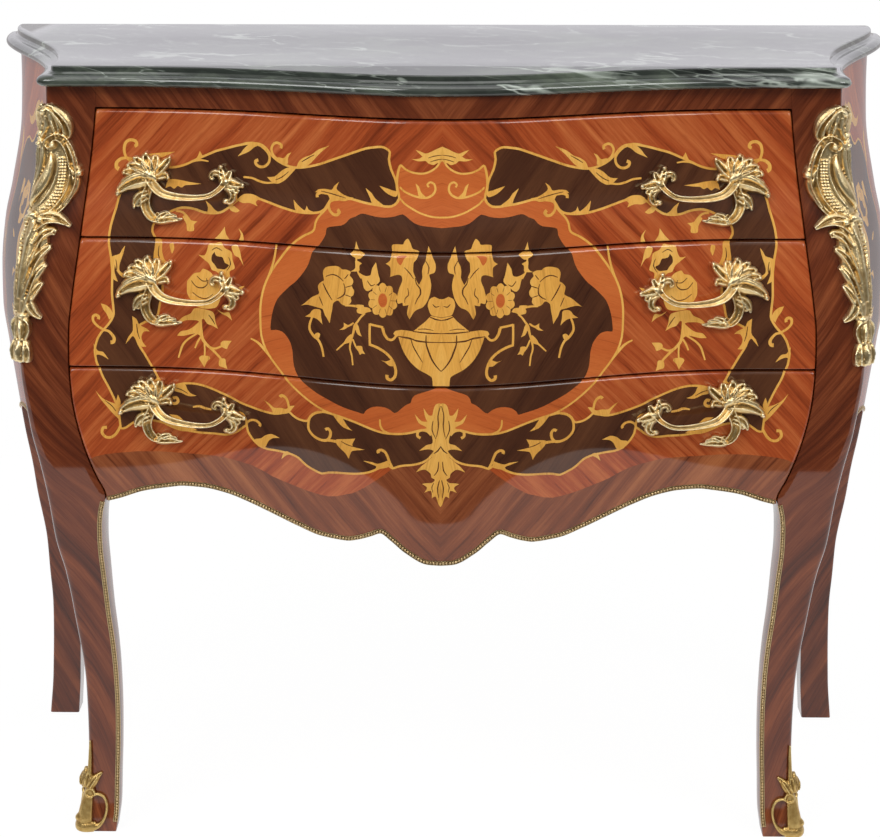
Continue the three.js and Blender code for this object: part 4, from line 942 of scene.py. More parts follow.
def smoothed(points, closed, steps=3, tip=72):
    """Rounds a run of points, but leaves its sharp tips as they are."""
    count = len(points)
    path = [Vector(p) for p in points]

    def slope(i):
        if not closed and i in (0, count - 1):
            return Vector((0, 0))
        before, here, after = path[i - 1], path[i], path[(i + 1) % count]
        back, ahead = before - here, after - here
        if back.length == 0 or ahead.length == 0 or math.degrees(back.angle(ahead)) < tip:
            return Vector((0, 0))
        return (after - before) / 2 * min(back.length, ahead.length) * 2 / (back.length + ahead.length)

    slopes = [slope(i) for i in range(count)]
    curve = []
    for i in range(count if closed else count - 1):
        a, b = path[i], path[(i + 1) % count]
        m, n = slopes[i], slopes[(i + 1) % count]
        for k in range(steps):
            t = k / steps
            ease = t * t * (3 - 2 * t)
            curve.append(a * (1 - ease) + b * ease + m * (t * (1 - t) ** 2) - n * (t * t * (1 - t)))
    if not closed:
        curve.append(path[-1])
    return curve


def strip(widths, points, closed=False, steps=3):
    """A line of varying width, as four-cornered pieces of veneer laid end to end."""
    path = smoothed(points, closed, steps, tip=20)
    if closed:
        path.append(path[0])
    start, middle, end = widths
    lefts, rights, pieces = [], [], []
    for i, here in enumerate(path):
        before = path[i - 1] if i else (path[-2] if closed else here)
        after = path[i + 1] if i < len(path) - 1 else (path[1] if closed else here)
        way = (after - before).normalized()
        share = i / (len(path) - 1)
        if share < 0.5:
            width = start + (middle - start) * share * 2
        else:
            width = middle + (end - middle) * (share * 2 - 1)
        aside = Vector((-way.y, way.x)) * width / 2
        lefts.append(here + aside)
        rights.append(here - aside)
        if i:
            corners = [lefts[-2], rights[-2], rights[-1], lefts[-1]]
            pieces.append([corners[k] for k in geometry.convex_hull_2d(corners)])
    return pieces


def both_sides(shapes):
    """The shapes of the left half in metres, and their mirror images."""
    sides = []
    for shape in shapes:
        left = [Vector((x, z)) * millimetre for x, z in shape]
        sides += [left, [Vector((-p.x, p.y)) for p in reversed(left)]]
    return sides


leaf_shapes = [smoothed(leaf, True) for leaf in boxwood_leaves]
urn_shapes = [smoothed(part, True, tip=130) for part in urn_parts]
line_shapes = [piece for widths, way in boxwood_lines
               for piece in strip([w * line_gain for w in widths], way)]
line_shapes += strip((2.4, 2.4, 2.4), band, closed=True, steps=2)
line_shapes += strip((1.8, 2.3, 1.9), ring_line, steps=2)
across, up, wide, tall = daisy
petal_count = 10


def turns(count):
    return [2 * math.pi * step / count for step in range(count)]


daisy_shape = []
for turn in turns(60):
    reach = 0.9 + 0.17 * abs(math.sin(petal_count / 2 * turn))
    daisy_shape.append(Vector((across + wide * reach * math.cos(turn), up + tall * reach * math.sin(turn))))
heart_shape = [Vector((across + daisy_heart[0] * math.cos(turn), up + daisy_heart[1] * math.sin(turn)))
               for turn in turns(20)]
petal_lines = []
for turn in turns(petal_count):
    way = [(across + wide * r * math.cos(turn), up + tall * r * math.sin(turn)) for r in (0.55, 0.85)]
    petal_lines += strip((0.5, 0.5, 0.4), way)

# The woods from the lowest to the one that shows where two outlines overlap
marquetry = [
    ("crossband", both_sides([crossband])),
    ("ring", both_sides([smoothed(ring_line, False, 2), panel_top])),
    ("palisander", both_sides([smoothed(band, True, 2), smoothed(centre, False, 2)])),
    ("boxwood", both_sides(leaf_shapes + urn_shapes + line_shapes + [daisy_shape])),
    ("ring", both_sides([heart_shape, smoothed(upper_heart, True)])),
    ("palisander", both_sides([smoothed(blossom_heart, True)] + petal_lines
                              + [piece for wide_cut, way in engraved_lines
                                 for piece in strip((wide_cut, wide_cut * 1.9, wide_cut * 0.8), way)])),
]


def turned_left(shape):
    """The shape, its points in the order that keeps its inside on the left."""
    area = sum(a.x * b.y - b.x * a.y for a, b in zip(shape, shape[1:] + shape[:1]))
    return shape if area > 0 else shape[::-1]


def cut_veneers(outline, layers):
    """Cuts the layers of wood to an outline: the points, and each wood's triangles."""
    left, right = min(p.x for p in outline), max(p.x for p in outline)
    low, high = min(p.y for p in outline), max(p.y for p in outline)
    points, faces, owners, cuts, edges = [], [], [], [], []

    def add(shape, wood_name):
        shape = turned_left(shape)
        faces.append(list(range(len(points), len(points) + len(shape))))
        points.extend(shape)
        owners.append(wood_name)
        cuts.append(shape)

    add(outline, "board")
    for wood_name, shapes in layers:
        for shape in shapes:
            if max(p.y for p in shape) > low and min(p.y for p in shape) < high:
                add(shape, wood_name)
    for inset in rim_insets:
        start = len(points)
        inner = inset_outline(outline, inset)
        points.extend(inner)
        edges += [(start + i, start + (i + 1) % len(inner)) for i in range(len(inner))]
    inner = inset_outline(outline, inner_inset)
    columns, rows = round((right - left) / point_spacing), round((high - low) / point_spacing)
    for column in range(1, columns):
        for row in range(1, rows):
            spot = Vector((left + (right - left) * (column + (row % 2) / 2) / columns,
                           low + (high - low) * row / rows))
            if within(spot, inner):
                points.append(spot)
    flat, _, triangles, _, _, sources = geometry.delaunay_2d_cdt(points, edges, faces, 1, 1e-6)
    woods = {}
    for triangle, source in zip(triangles, sources):
        spot = (flat[triangle[0]] + flat[triangle[1]] + flat[triangle[2]]) / 3
        owner = next((k for k in sorted(source, reverse=True) if within(spot, cuts[k])), None)
        if owner is not None and 0 in source:
            woods.setdefault(owners[owner], []).append(triangle)
    return flat, woods


def inset_outline(outline, inset):
    """The outline moved inwards, corners mitred."""
    shape = turned_left(outline)
    moved = []
    for before, here, after in zip(shape[-1:] + shape[:-1], shape, shape[1:] + shape[:1]):
        first, second = (here - before).normalized(), (after - here).normalized()
        inward = Vector((-first.y, first.x)) + Vector((-second.y, second.x))
        moved.append(here + inward * (2 * inset / max(inward.length_squared, 0.5)))
    return moved


def within(spot, shape):
    """Whether a spot lies inside a shape."""
    inside = False
    for a, b in zip(shape, shape[1:] + shape[:1]):
        if (a.y > spot.y) != (b.y > spot.y) and spot.x < (b.x - a.x) * (spot.y - a.y) / (b.y - a.y) + a.x:
            inside = not inside
    return inside


def sewn(corners, faces):
    """A new piece whose mesh has these corners and faces."""
    mesh = bpy.data.meshes.new("piece")
    mesh.from_pydata(corners, [], faces)
    mesh.update()
    piece = bpy.data.objects.new("piece", mesh)
    bpy.context.collection.objects.link(piece)
    return piece


def closed_sheet(points, triangles, front, back, normal=None):
    """A thin solid from flat triangles, between a front and a back surface."""
    used = sorted({i for triangle in triangles for i in triangle})
    place = {i: k for k, i in enumerate(used)}
    count = len(used)
    corners = [front(*points[i]) for i in used] + [back(*points[i]) for i in used]
    faces = [[place[i] for i in triangle] for triangle in triangles]
    edges = {(a, b) for face in faces for a, b in zip(face, face[1:] + face[:1])}
    walls = [(b, a, a + count, b + count) for a, b in edges if (b, a) not in edges]
    fronts = len(faces)
    piece = sewn(corners, faces + [[i + count for i in reversed(face)] for face in faces] + walls)
    mesh = piece.data
    if normal:
        facing = []
        for polygon in mesh.polygons:
            for vertex in polygon.vertices:
                facing.append(normal(*points[used[vertex]]) if polygon.index < fronts else polygon.normal)
        mesh.polygons.foreach_set("use_smooth", [True] * len(mesh.polygons))
        mesh.normals_split_custom_set(facing)
    return piece


def drawer_outline(top, bottom):
    """The outline of one drawer front; the last one has the scalloped lower edge."""
    step = 0.006
    low = height * apron_curve(1) if bottom is None else bottom
    rim = [(stile_x(z), z) for z in spread(low, top, round((top - low) / step))]
    reach = stile_x(top)
    rim += [(x, top) for x in spread(reach, -reach, round(2 * reach / step))[1:-1]]
    rim += [(-stile_x(z), z) for z in spread(top, low, round((top - low) / step))]
    reach = stile_x(low)
    rim += [(x, low if bottom is not None else height * apron_curve(abs(x) / reach))
            for x in spread(-reach, reach, round(2 * reach / step))[1:-1]]
    return [Vector(p) for p in rim]


def drawer_surface(top, bottom):
    """The veneered face of one drawer, with softly rounded edges, and its normal."""
    reach = stile_x(height * apron_curve(1))

    def face(x, z):
        low = bottom if bottom is not None else height * apron_curve(min(abs(x) / reach, 1))
        y = front_y(x, z)
        for gap, radius in ((top - z, top_round), (z - low, low_round), (stile_x(z) - abs(x), side_round)):
            if gap < radius:
                y += radius - math.sqrt(max(radius ** 2 - (radius - max(gap, 0)) ** 2, 0))
        return (x, y, z)

    def facing(x, z):
        step = 0.00005
        aside = min(max(x, -stile_x(z) + step), stile_x(z) - step)
        slope_x = (face(aside + step, z)[1] - face(aside - step, z)[1]) / (2 * step)
        slope_z = (face(x, z + step)[1] - face(x, z - step)[1]) / (2 * step)
        return Vector((slope_x, -1, slope_z)).normalized()

    return face, facing


# Tones, slant of the grain, how close its lines stand, and contrast
veneer_looks = {
    "board": (((108, 42, 18), (160, 72, 33), (192, 108, 58)), 47, 1.0, 1.3),
    "crossband": (((82, 38, 20), (126, 66, 37), (164, 98, 58)), -50, 0.7, 1.3),
    "ring": (((150, 67, 31), (184, 92, 42), (206, 117, 58)), 20, 0.5, 0.6),
    "palisander": (((44, 22, 13), (72, 40, 23), (104, 64, 38)), -55, 0.45, 0.75),
    "boxwood": (((182, 122, 48), (218, 160, 73), (236, 188, 102)), 80, 0.5, 0.9),
}
# Name of the skin, and of the wood
veneer_names = {
    "board": ("kingwood_field", "kingwood on the drawers"), "crossband": ("crossband", "kingwood crossband"),
    "ring": ("red_ring", "plain red wood"), "palisander": ("palisander", "palisander"),
    "boxwood": ("boxwood_inlay", "boxwood"),
}
front_woods = {key: wood(veneer_names[key][1], *look) for key, look in veneer_looks.items()}


def lay_skin(skin, name, material, body, wood_name):
    """Names a skin of veneer, gives it its wood, and lets it ride on a body."""
    skin.name = skin.data.name = f"{name}_{veneer_names[wood_name][0]}"
    skin.data.materials.append(material)
    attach(skin, body)
    "palisander" if wood_name == "palisander" else "kingwood"


drawer_names = ["top", "middle", "bottom"]
for level, drawer in enumerate(drawer_names):
    top = drawer_lines[level] - half_gap
    bottom = drawer_lines[level + 1] + half_gap if level < 2 else None
    face, facing = drawer_surface(top, bottom)
    flat, woods = cut_veneers(drawer_outline(top, bottom), marquetry)

    def face_back(x, z):
        x, y, z = face(x, z)
        return (x, y + veneer_thickness, z)

    def board_back(x, z):
        return (x, front_y(x, z) + front_thickness, z)

    for wood_name, triangles in woods.items():
        skin = closed_sheet(flat, triangles, face, face_back, facing)
        lay_skin(skin, f"drawer_{drawer}", front_woods[wood_name], f"{drawer}_drawer", wood_name)
    every = [triangle for triangles in woods.values() for triangle in triangles]
    board = closed_sheet(flat, every, face_back, board_back)
    board.data.materials.append(front_woods["board"])
    finish_piece(board, f"drawer_{drawer}_front_board", f"{drawer}_drawer")
    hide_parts(f"drawer_{drawer}_front")


# Veneer of the sides: three of the same woods and the same spray of flowers, in a dark cartouche with
# a pale line round it. Millimetres from the middle of the side, which mirrors its left half.
hands = ((-1, "left"), (1, "right"))
side_middle = Vector((54, 612))
cartouche = [
    (0, 152), (-16, 150), (-30, 143), (-40, 134), (-52, 131), (-66, 134), (-80, 130), (-90, 119),
    (-96, 104), (-94, 88), (-98, 72), (-105, 52), (-108, 24), (-107, -4), (-101, -30), (-92, -50),
    (-90, -66), (-94, -84), (-90, -102), (-78, -114), (-62, -117), (-48, -113), (-38, -118), (-26, -130),
    (-14, -140), (0, -144),
]
cartouche_leaves = [
    [(0, 186), (-9, 181), (-18, 183), (-30, 178), (-42, 168), (-54, 160), (-66, 158), (-76, 162),
     (-68, 151), (-54, 150), (-42, 156), (-34, 158), (-26, 152), (-16, 158), (-8, 166), (0, 168)],
    [(-100, 124), (-106, 134), (-118, 142), (-112, 128), (-108, 112), (-104, 98), (-99, 108)],
    [(-112, 10), (-118, 22), (-124, 36), (-122, 18), (-124, 0), (-120, -16), (-114, -26), (-116, -8)],
    [(-98, -100), (-106, -112), (-118, -118), (-110, -104), (-106, -90), (-102, -78), (-97, -88)],
]
# The spray behind a pull of the middle drawer, laid on the side at a larger size
spray_left, spray_right, spray_low, spray_high = -285, -203, 545, 684
spray_middle = Vector((-249, 618))
spray_size = 1.45


def in_spray(shape):
    return all(spray_left < x < spray_right and spray_low < z < spray_high for x, z in shape)


def on_side(shapes, middle, size):
    """Flat shapes in millimetres, moved to the middle of the side."""
    return [[(side_middle + (Vector(p) - middle) * size) * millimetre for p in shape] for shape in shapes]


whole = cartouche + [(-across, up) for across, up in reversed(cartouche[1:-1])]
pale_line = strip((2.6, 2.6, 2.6), whole, closed=True, steps=2)
both_leaves = [smoothed(leaf, True) for leaf in cartouche_leaves]
both_leaves += [[Vector((-p.x, p.y)) for p in leaf] for leaf in both_leaves]
spray = [smoothed(leaf, True) for leaf in boxwood_leaves if in_spray(leaf)]
spray += [piece for widths, way in boxwood_lines if in_spray(way)
          for piece in strip([w * line_gain for w in widths], way)]
spray_cuts = [piece for cut, way in engraved_lines if in_spray(way)
              for piece in strip((cut, cut * 1.4, cut), way)]
side_layers = [
    ("palisander", on_side([smoothed(whole, True, 2)], Vector((0, 0)), 1)),
    ("boxwood", on_side(pale_line + both_leaves, Vector((0, 0)), 1)
     + on_side(spray, spray_middle, spray_size)),
    ("palisander", on_side([smoothed(blossom_heart, True)] + spray_cuts, spray_middle, spray_size)),
]
side_rim = [Vector((y, height * side_edge_curve((y - side_front) / (side_back - side_front))))
            for y in spread(side_front, side_back, 48)]
side_rim += [Vector((side_back, z)) for z in spread(side_rim[-1].y, body_top, 70)[1:]]
side_rim += [Vector((y, body_top)) for y in spread(side_back, side_front, 48)[1:]]
side_rim += [Vector((side_front, z)) for z in spread(body_top, side_rim[0].y, 70)[1:-1]]
side_woods = {
    wood_name: wood(f"{name} on the sides", *veneer_looks[wood_name], follows="UVMap")
    for wood_name, name in (("board", "kingwood"), ("palisander", "palisander"), ("boxwood", "boxwood"))
}
flat, woods = cut_veneers(side_rim, side_layers)
for side, hand in hands:
    def side_face(y, z, depth=0):
        return (side * (side_x(y, z) - depth), y, z)

    def side_back_face(y, z):
        return side_face(y, z, veneer_thickness)

    def side_facing(y, z):
        step = 0.0005
        slope_y = (side_x(y + step, z) - side_x(y - step, z)) / (2 * step)
        slope_z = (side_x(y, z + step) - side_x(y, z - step)) / (2 * step)
        return Vector((side, -slope_y, -slope_z)).normalized()

    for wood_name, triangles in woods.items():
        turned = triangles if side > 0 else [triangle[::-1] for triangle in triangles]
        skin = closed_sheet(flat, turned, side_face, side_back_face, side_facing)
        grain = skin.data.uv_layers.new(name="UVMap")
        for loop in skin.data.loops:
            place = skin.data.vertices[loop.vertex_index].co
            grain.data[loop.index].uv = (place.y - side_middle.x * millimetre, place.z)
        lay_skin(skin, f"side_{hand}", side_woods[wood_name], "carcass", wood_name)


# Boards of the carcass: plain pine, planed and left bare. The top board lies under the marble,
# the back panel is let in between the rear legs, and the boards and strips carry the drawers.
def pine(name, grain):
    """Bare pine, its grain along one axis of the chest."""
    finish = Finish(name, Roughness=0.62, Coat_Weight=0.0)
    x, y, z = finish.axes()
    along, over, through = {"x": (x, y, z), "y": (y, x, z), "z": (z, x, y)}[grain]
    bend = finish.noise(finish.point(along * 2.2, over * 3.0, through * 3.0), 2.0) - 0.5
    spaced = over + bend * 0.05
    rings = finish.noise(finish.point(along * 0.8, spaced * 46.0, through * 30.0), 3.0, 0.5)
    fibre = finish.noise(finish.point(along * 9.0, spaced * 420.0, through * 300.0), 3.0, 0.7)
    knots = finish.node("ShaderNodeTexVoronoi", {}, {
        "Vector": finish.point(along * 3.1, over * 7.5, 0.3), "Scale": 1.0}, output="Distance")
    tone = rings * 0.72 + fibre * 0.28
    base = finish.ramp(tone, [(0.3, colour(204, 166, 112)), (0.5, colour(222, 188, 138)),
                              (0.7, colour(232, 204, 160))])
    knot = finish.ramp(knots, [(0.0, (1, 1, 1)), (0.05, (0.7, 0.7, 0.7)), (0.1, (0, 0, 0))])
    finish.paint(Base_Color=finish.mix(knot, base, (*colour(120, 72, 38), 1)),
                 Normal=finish.bump(fibre, 0.00012))
    return finish.material


pine_across = pine("bare pine, grain across", "x")
pine_deep = pine("bare pine, grain front to back", "y")
carcass_boards = ["top_board", "bottom_board", "dust_board_upper", "dust_board_lower", "back_panel"]
guides = [f"guide_{drawer}_{hand}" for drawer in drawer_names for side, hand in hands]


def clad(node_name, material):
    """Gives a CAD node its finish."""
    part = bpy.data.objects[node_name]
    part.data.materials.clear()
    part.data.materials.append(material)


for node_name in carcass_boards + guides:
    clad(node_name, pine_deep if node_name in guides else pine_across)


# Drawer boxes: pine sides, back and bottom, joined to the bowed front.
# The grain of the sides runs from front to back, that of the back and the bottom across.
for drawer in drawer_names:
    for part in ("side_left", "side_right"):
        clad(f"drawer_{drawer}_{part}", pine_deep)
    for part in ("back", "bottom"):
        clad(f"drawer_{drawer}_{part}", pine_across)


# Pulls: one-piece castings in gilt brass. A leafy cluster and a curled stem lie on the front,
# and a grooved bar swings out from them to a small leafy finial. One pattern serves all six.
pull_across = 0.306
pull_heights = [height * share for share in (0.8674, 0.7442, 0.5945)]
# How far each pair droops towards its finials, as a slope
pull_droops = [0.0, 0.03, 0.09]
# Sections of the pattern: share of the half width, and of the height between bed and crest
blade = [(-1, 0.25), (-0.8, 0.75), (-0.42, 1), (-0.14, 0.72), (0, 0.5), (0.14, 0.72), (0.42, 1),
         (0.8, 0.75), (1, 0.25), (0.7, 0), (-0.7, 0)]
strap = [(-1, 0.4), (-0.96, 0.85), (-0.78, 1), (-0.55, 0.72), (-0.2, 0.5), (0.2, 0.5), (0.55, 0.72),
         (0.78, 1), (0.96, 0.85), (1, 0.4), (0.7, 0.05), (0, 0), (-0.7, 0.05)]
rod = [(math.cos(math.radians(a)), 0.5 + 0.5 * math.sin(math.radians(a))) for a in range(0, 360, 30)]
# Each way: along, up, crest over the face, width, and the depth of the casting where it stands free
pull_pattern = [
    # The bar, from under the leaves to the finial
    (strap, [(-3, 2, 9, 8, 6), (1, -5, 13, 10.5, 7), (6, -12, 18, 10.5, 6.5), (13, -17.6, 22, 9.4, 6),
     (23, -20.6, 24, 8.2, 5.5), (36, -21.8, 24.5, 7, 5.2), (50, -21.6, 24.5, 6, 5),
     (62, -19.4, 23, 5.4, 5), (71, -14, 20, 5.4, 5), (77, -8, 14, 6, 6), (80, -2, 10, 8, 7)]),
    # Leaves of the cluster, fanned out from the root of the bar
    (blade, [(6, -5, 11, 11), (-3, -3, 13, 17.1), (-12, -4, 13, 20.7), (-20, -7, 11.5, 18.3),
     (-26, -10.5, 10, 13.4), (-31, -14.5, 8.5, 9.8), (-33, -17.5, 8, 6.1)]),
    (blade, [(-6, 1, 13, 7.3), (-14, 0.5, 13, 8.5), (-21, -2.5, 11.5, 8.5), (-26, -5, 9.5, 7.3),
     (-29.5, -7, 8, 4.3)]),
    (blade, [(-1, 0, 13, 11), (-10, 3, 12.5, 14.6), (-18, 4, 11, 14), (-24, 4, 9.5, 10.4),
     (-27.5, 3, 8, 6.1)]),
    (blade, [(0, 1, 13, 11), (-8, 6.5, 12.5, 14.6), (-15, 9.5, 11, 14), (-20, 10.5, 9.5, 10.4),
     (-22.5, 10.5, 8, 6.1)]),
    (blade, [(1, 2, 13, 11), (-5, 9, 12.5, 14.6), (-10, 14, 11, 13.4), (-13.5, 17, 9.5, 10.4),
     (-15.5, 18, 8, 6.1)]),
    (blade, [(2, 3, 13, 11), (-0.5, 11, 12.5, 14.6), (-3, 17.5, 11, 13.4), (-3.5, 21, 9.5, 10.4),
     (-3, 23.5, 8, 6.1)]),
    (blade, [(3, 2, 13, 11), (5, 10, 12.5, 13.4), (6.5, 16, 11, 12.2), (7, 20, 9.5, 9.8), (7, 22, 8, 6.1)]),
    (blade, [(4, 0, 12, 9.8), (11, 6.5, 12, 12.2), (16, 12, 10.5, 11.6), (19.5, 16, 9.5, 9.8),
     (21.5, 18.5, 8.5, 6.1)]),
    (blade, [(5, -2, 11, 9.8), (11, 0, 11, 11), (16, 1, 9.5, 10.4), (19, -1.5, 8, 7.3)]),
    # Low forms that fill the roots of the leaves
    (rod, [(2, -2, 9, 14), (-6, 4, 9.5, 20), (-12, 6, 9, 20), (-17, 6, 8, 14)]),
    (rod, [(3, 0, 9, 14), (3, 8, 9.5, 18), (4, 14, 9, 14)]),
    # Folded tips and the beads where the leaves spring
    (rod, [(-5, 4, 13, 4), (0, 1, 15.5, 10), (5, -2, 15, 8), (7.5, -6, 13, 3)]),
    (rod, [(-35.5, -16, 8, 2), (-33.5, -18, 11, 7.5), (-30.5, -19, 8, 2)]),
    (rod, [(19, 20, 8, 2), (21.5, 19, 11.5, 6), (23.5, 17, 8, 2)]),
    (rod, [(-6, 21, 8, 2), (-3, 22.5, 11, 6), (0, 23, 8, 2)]),
    (rod, [(-17.5, 17, 8, 2), (-15.5, 18, 10.5, 5), (-13, 19.5, 8, 2)]),
    (rod, [(-24, 9, 8, 2), (-22.5, 10.5, 10.5, 5), (-21.5, 12.5, 8, 2)]),
    (rod, [(-29, 1.5, 8, 2), (-27, 3, 10.5, 5), (-26, 5, 8, 2)]),
    (rod, [(18, -4, 8, 2), (19.5, -1.5, 10.5, 5), (18, 1, 8, 2)]),
    (blade, [(-2, 4, 14.5, 4), (-5, 8, 15, 5), (-7, 12, 14, 4), (-8, 15, 12.5, 2)]),
    (blade, [(3, 3, 14.5, 4), (3, 9, 15, 5), (2.5, 14, 14, 4), (2, 17, 12, 2)]),
    (blade, [(-5, 2, 14.5, 4), (-10, 4.5, 15, 5), (-15, 6, 13.5, 4), (-18, 7, 12, 2)]),
    # The finial
    (blade, [(79, -6, 9, 9.6), (77, 1, 10, 10.8), (76, 6.5, 9, 9), (75.5, 11, 8, 5.4)]),
    (blade, [(79, -4, 9, 9.6), (83, 1.5, 10, 10.2), (85, 5.5, 8.5, 7.8), (85.5, 8, 8, 4.8)]),
    (blade, [(79, -5, 10, 10.8), (87, -5, 10.5, 13.2), (93, -6, 9, 10.2), (98, -6.5, 8, 4.8)]),
    (blade, [(80, -8, 9, 9.6), (87, -10, 9.5, 10.2), (92, -12, 8, 7.8), (94.5, -14, 7.5, 4.8)]),
    (blade, [(81, -7, 9, 8.4), (87, -13, 9.5, 10.2), (88.5, -19, 9, 9.6), (85, -23.5, 8.5, 7.8),
     (81, -23.5, 8, 4.8)]),
    (blade, [(79, 1, 9, 7.2), (72, 5, 9, 8.4), (67, 4.5, 8.5, 7.2), (65, 0.5, 8, 6), (68.5, -1.5, 7.5, 3.6)]),
    (rod, [(77, -7, 11, 3.6), (81, -4, 13, 9.6), (85, -2, 11, 3.6)]),
    (rod, [(74, 9, 8, 2.4), (75.5, 11, 10.5, 6), (78, 12.5, 8, 2.4)]),
    (rod, [(97, -9, 8, 2.4), (98.5, -6.5, 10, 5.4), (97, -4, 8, 2.4)]),
    (rod, [(81, -26, 8, 2.4), (80, -23.5, 10.5, 6), (82.5, -21, 8, 2.4)]),
    # The stem with its sprig and the curled leaf at its foot
    (strap, [(1, -8, 10, 8), (-2, -16, 10, 10), (-4.5, -24, 9.5, 11), (-4, -32, 9.5, 11),
     (0, -39.5, 9.5, 10.5), (5.5, -43.5, 9.5, 8.5), (9, -41, 9, 6), (7, -37.5, 8, 3.5)]),
    (blade, [(-2, -17, 9, 7), (-8.5, -19.5, 9.5, 10), (-13.5, -23.5, 8.5, 9.5), (-16, -29, 7.5, 6),
     (-16.5, -33.5, 7, 2.5)]),
    (blade, [(-3, -22, 9, 6), (-8, -25, 9, 8), (-11.5, -29, 8, 5.5), (-12.5, -32, 7, 3)]),
    (blade, [(6, -46, 8, 7), (13, -45, 9.5, 10.5), (21, -44, 9, 9), (28, -44, 7.5, 5.5), (35, -43, 6.5, 2)]),
    (blade, [(8, -44, 9, 6), (13, -40, 9.5, 8), (18, -38, 9, 7), (22, -38, 8, 4)]),
    (blade, [(14, -43, 9.5, 5), (19, -40.5, 9.5, 6), (25, -40, 8.5, 5), (29, -41, 7.5, 2.5)]),
]
# The forms lean up and outwards as they rise, so that they stand over their beds from above
lean_up = 0.2
lean_out = 0.1


def eased(points, steps=5):
    """A smooth run through points that carry a place, a crest, a width and perhaps a depth."""
    run = []
    for i in range(len(points) - 1):
        a, b, c, d = points[max(i - 1, 0)], points[i], points[i + 1], points[min(i + 2, len(points) - 1)]
        for k in range(steps):
            t = k / steps
            run.append(tuple(
                q + t * 0.5 * (r - p + t * (2 * p - 5 * q + 4 * r - s + t * (3 * (q - r) + s - p)))
                for p, q, r, s in zip(a, b, c, d)
            ))
    run.append(points[-1])
    return run


def face_outwards(piece):
    """Turns the faces of a closed piece outwards."""
    take_up(piece)
    bpy.ops.object.mode_set(mode="EDIT")
    bpy.ops.mesh.select_all(action="SELECT")
    bpy.ops.mesh.normals_make_consistent(inside=False)
    bpy.ops.object.mode_set(mode="OBJECT")


def cast_pattern(ways, grain, bed=0.3):
    """Swept leaves and bands, run together and smoothed into one casting, flat in millimetres."""
    corners, faces = [], []
    for section, points in ways:
        run = eased(points)
        start, size = len(corners), len(section)
        for i, (along, up, crest, width, *depth) in enumerate(run):
            before, after = run[max(i - 1, 0)], run[min(i + 1, len(run) - 1)]
            way = Vector((after[0] - before[0], after[1] - before[1], after[2] - before[2])).normalized()
            aside = Vector((-way.y, way.x, 0)).normalized()
            outward = way.cross(aside)
            outward = outward if outward.z > 0 else -outward
            low = crest - depth[0] if depth else bed
            for share, rise in section:
                if depth:
                    place = Vector((along, up, crest)) + outward * ((rise - 1) * depth[0])
                else:
                    place = Vector((along, up, low + (crest - low) * rise))
                corners.append(place + aside * (share * width / 2))
        for ring in range(len(run) - 1):
            for k in range(size):
                a, b = start + ring * size + k, start + ring * size + (k + 1) % size
                faces.append((a, b, b + size, a + size))
        faces.append(tuple(start + k for k in reversed(range(size))))
        faces.append(tuple(start + (len(run) - 1) * size + k for k in range(size)))
    piece = sewn(corners, faces)
    face_outwards(piece)
    cast = piece.modifiers.new("cast", "REMESH")
    cast.mode = "VOXEL"
    cast.voxel_size = grain
    bpy.ops.object.modifier_apply(modifier=cast.name)
    fettle = piece.modifiers.new("fettle", "SMOOTH")
    fettle.factor = 0.5
    fettle.iterations = 2
    bpy.ops.object.modifier_apply(modifier=fettle.name)
    return piece


def gilt_brass(name, tones):
    """Cast brass, thinly gilded and lacquered, with painted shade in its hollows and painted highlight on its
    ridges.
    """
    finish = Finish(name, Metallic=1.0, Roughness=0.3, Coat_Weight=0.0)
    x, y, z = finish.axes()
    place = finish.point(x, y, z)
    hollow = finish.node("ShaderNodeNewGeometry", {}, {}, output="Pointiness")
    cloud = finish.noise(place, 4.0, 0.5, scale=160.0)
    painted_shade_and_highlight = hollow + (cloud - 0.5) * 0.08
    # Painted shade and highlight: the base colour runs from dark in the hollows to near white on the ridges,
    # by the pointiness of the casting.
    stops = [(at, colour(*tone)) for at, tone in zip((0.40, 0.46, 0.5, 0.55, 0.61), tones)]
    finish.paint(Base_Color=finish.ramp(painted_shade_and_highlight, stops))
    grains = finish.noise(place, 3.0, 0.5, scale=700.0)
    rough = finish.noise(place, 3.0, 0.5, scale=60.0)
    finish.paint(Roughness=rough * 0.24 + 0.2, Normal=finish.bump(grains, 0.0004))
    return finish.material


brass = gilt_brass("gilt brass", [
    (104, 76, 42), (184, 150, 96), (234, 206, 150), (255, 240, 196), (255, 250, 224)])
pattern = cast_pattern(pull_pattern, grain=0.75)
for drawer, level, droop in zip(drawer_names, pull_heights, pull_droops):
    for side, hand in hands:
        pull = copied(pattern)
        for vertex in pull.data.vertices:
            along, up, rise = vertex.co * millimetre
            across = pull_across - along - up * droop - rise * lean_out
            x, z = side * across, level + up - along * droop + rise * lean_up
            vertex.co = (x, front_y(x, z) - rise, z)
        if side > 0:
            pull.data.flip_normals()
        pull.data.materials.append(brass)
        finish_piece(pull, f"pull_{drawer}_{hand}", f"{drawer}_drawer", angle=180)
        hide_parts(f"handle_{drawer}_{hand}")
bpy.data.objects.remove(pattern)


# Bolts: steel screws that hold the pulls from inside the drawer.
# Each goes through the front into the back of a casting.
def bright_steel():
    finish = Finish("bright steel", Metallic=1.0, Roughness=0.34, Coat_Weight=0.0)
    x, y, z = finish.axes()
    turned = finish.noise(finish.point(x * 300.0, y * 4000.0, z * 300.0), 2.0, 0.5)
    finish.paint(Base_Color=finish.ramp(turned, [(0.3, colour(150, 152, 156)), (0.7, colour(196, 198, 202))]),
                 Normal=finish.bump(turned, 0.00005))
    return finish.material


steel = bright_steel()
for drawer in drawer_names:
    for side, hand in hands:
        clad(f"bolt_{drawer}_{hand}", steel)


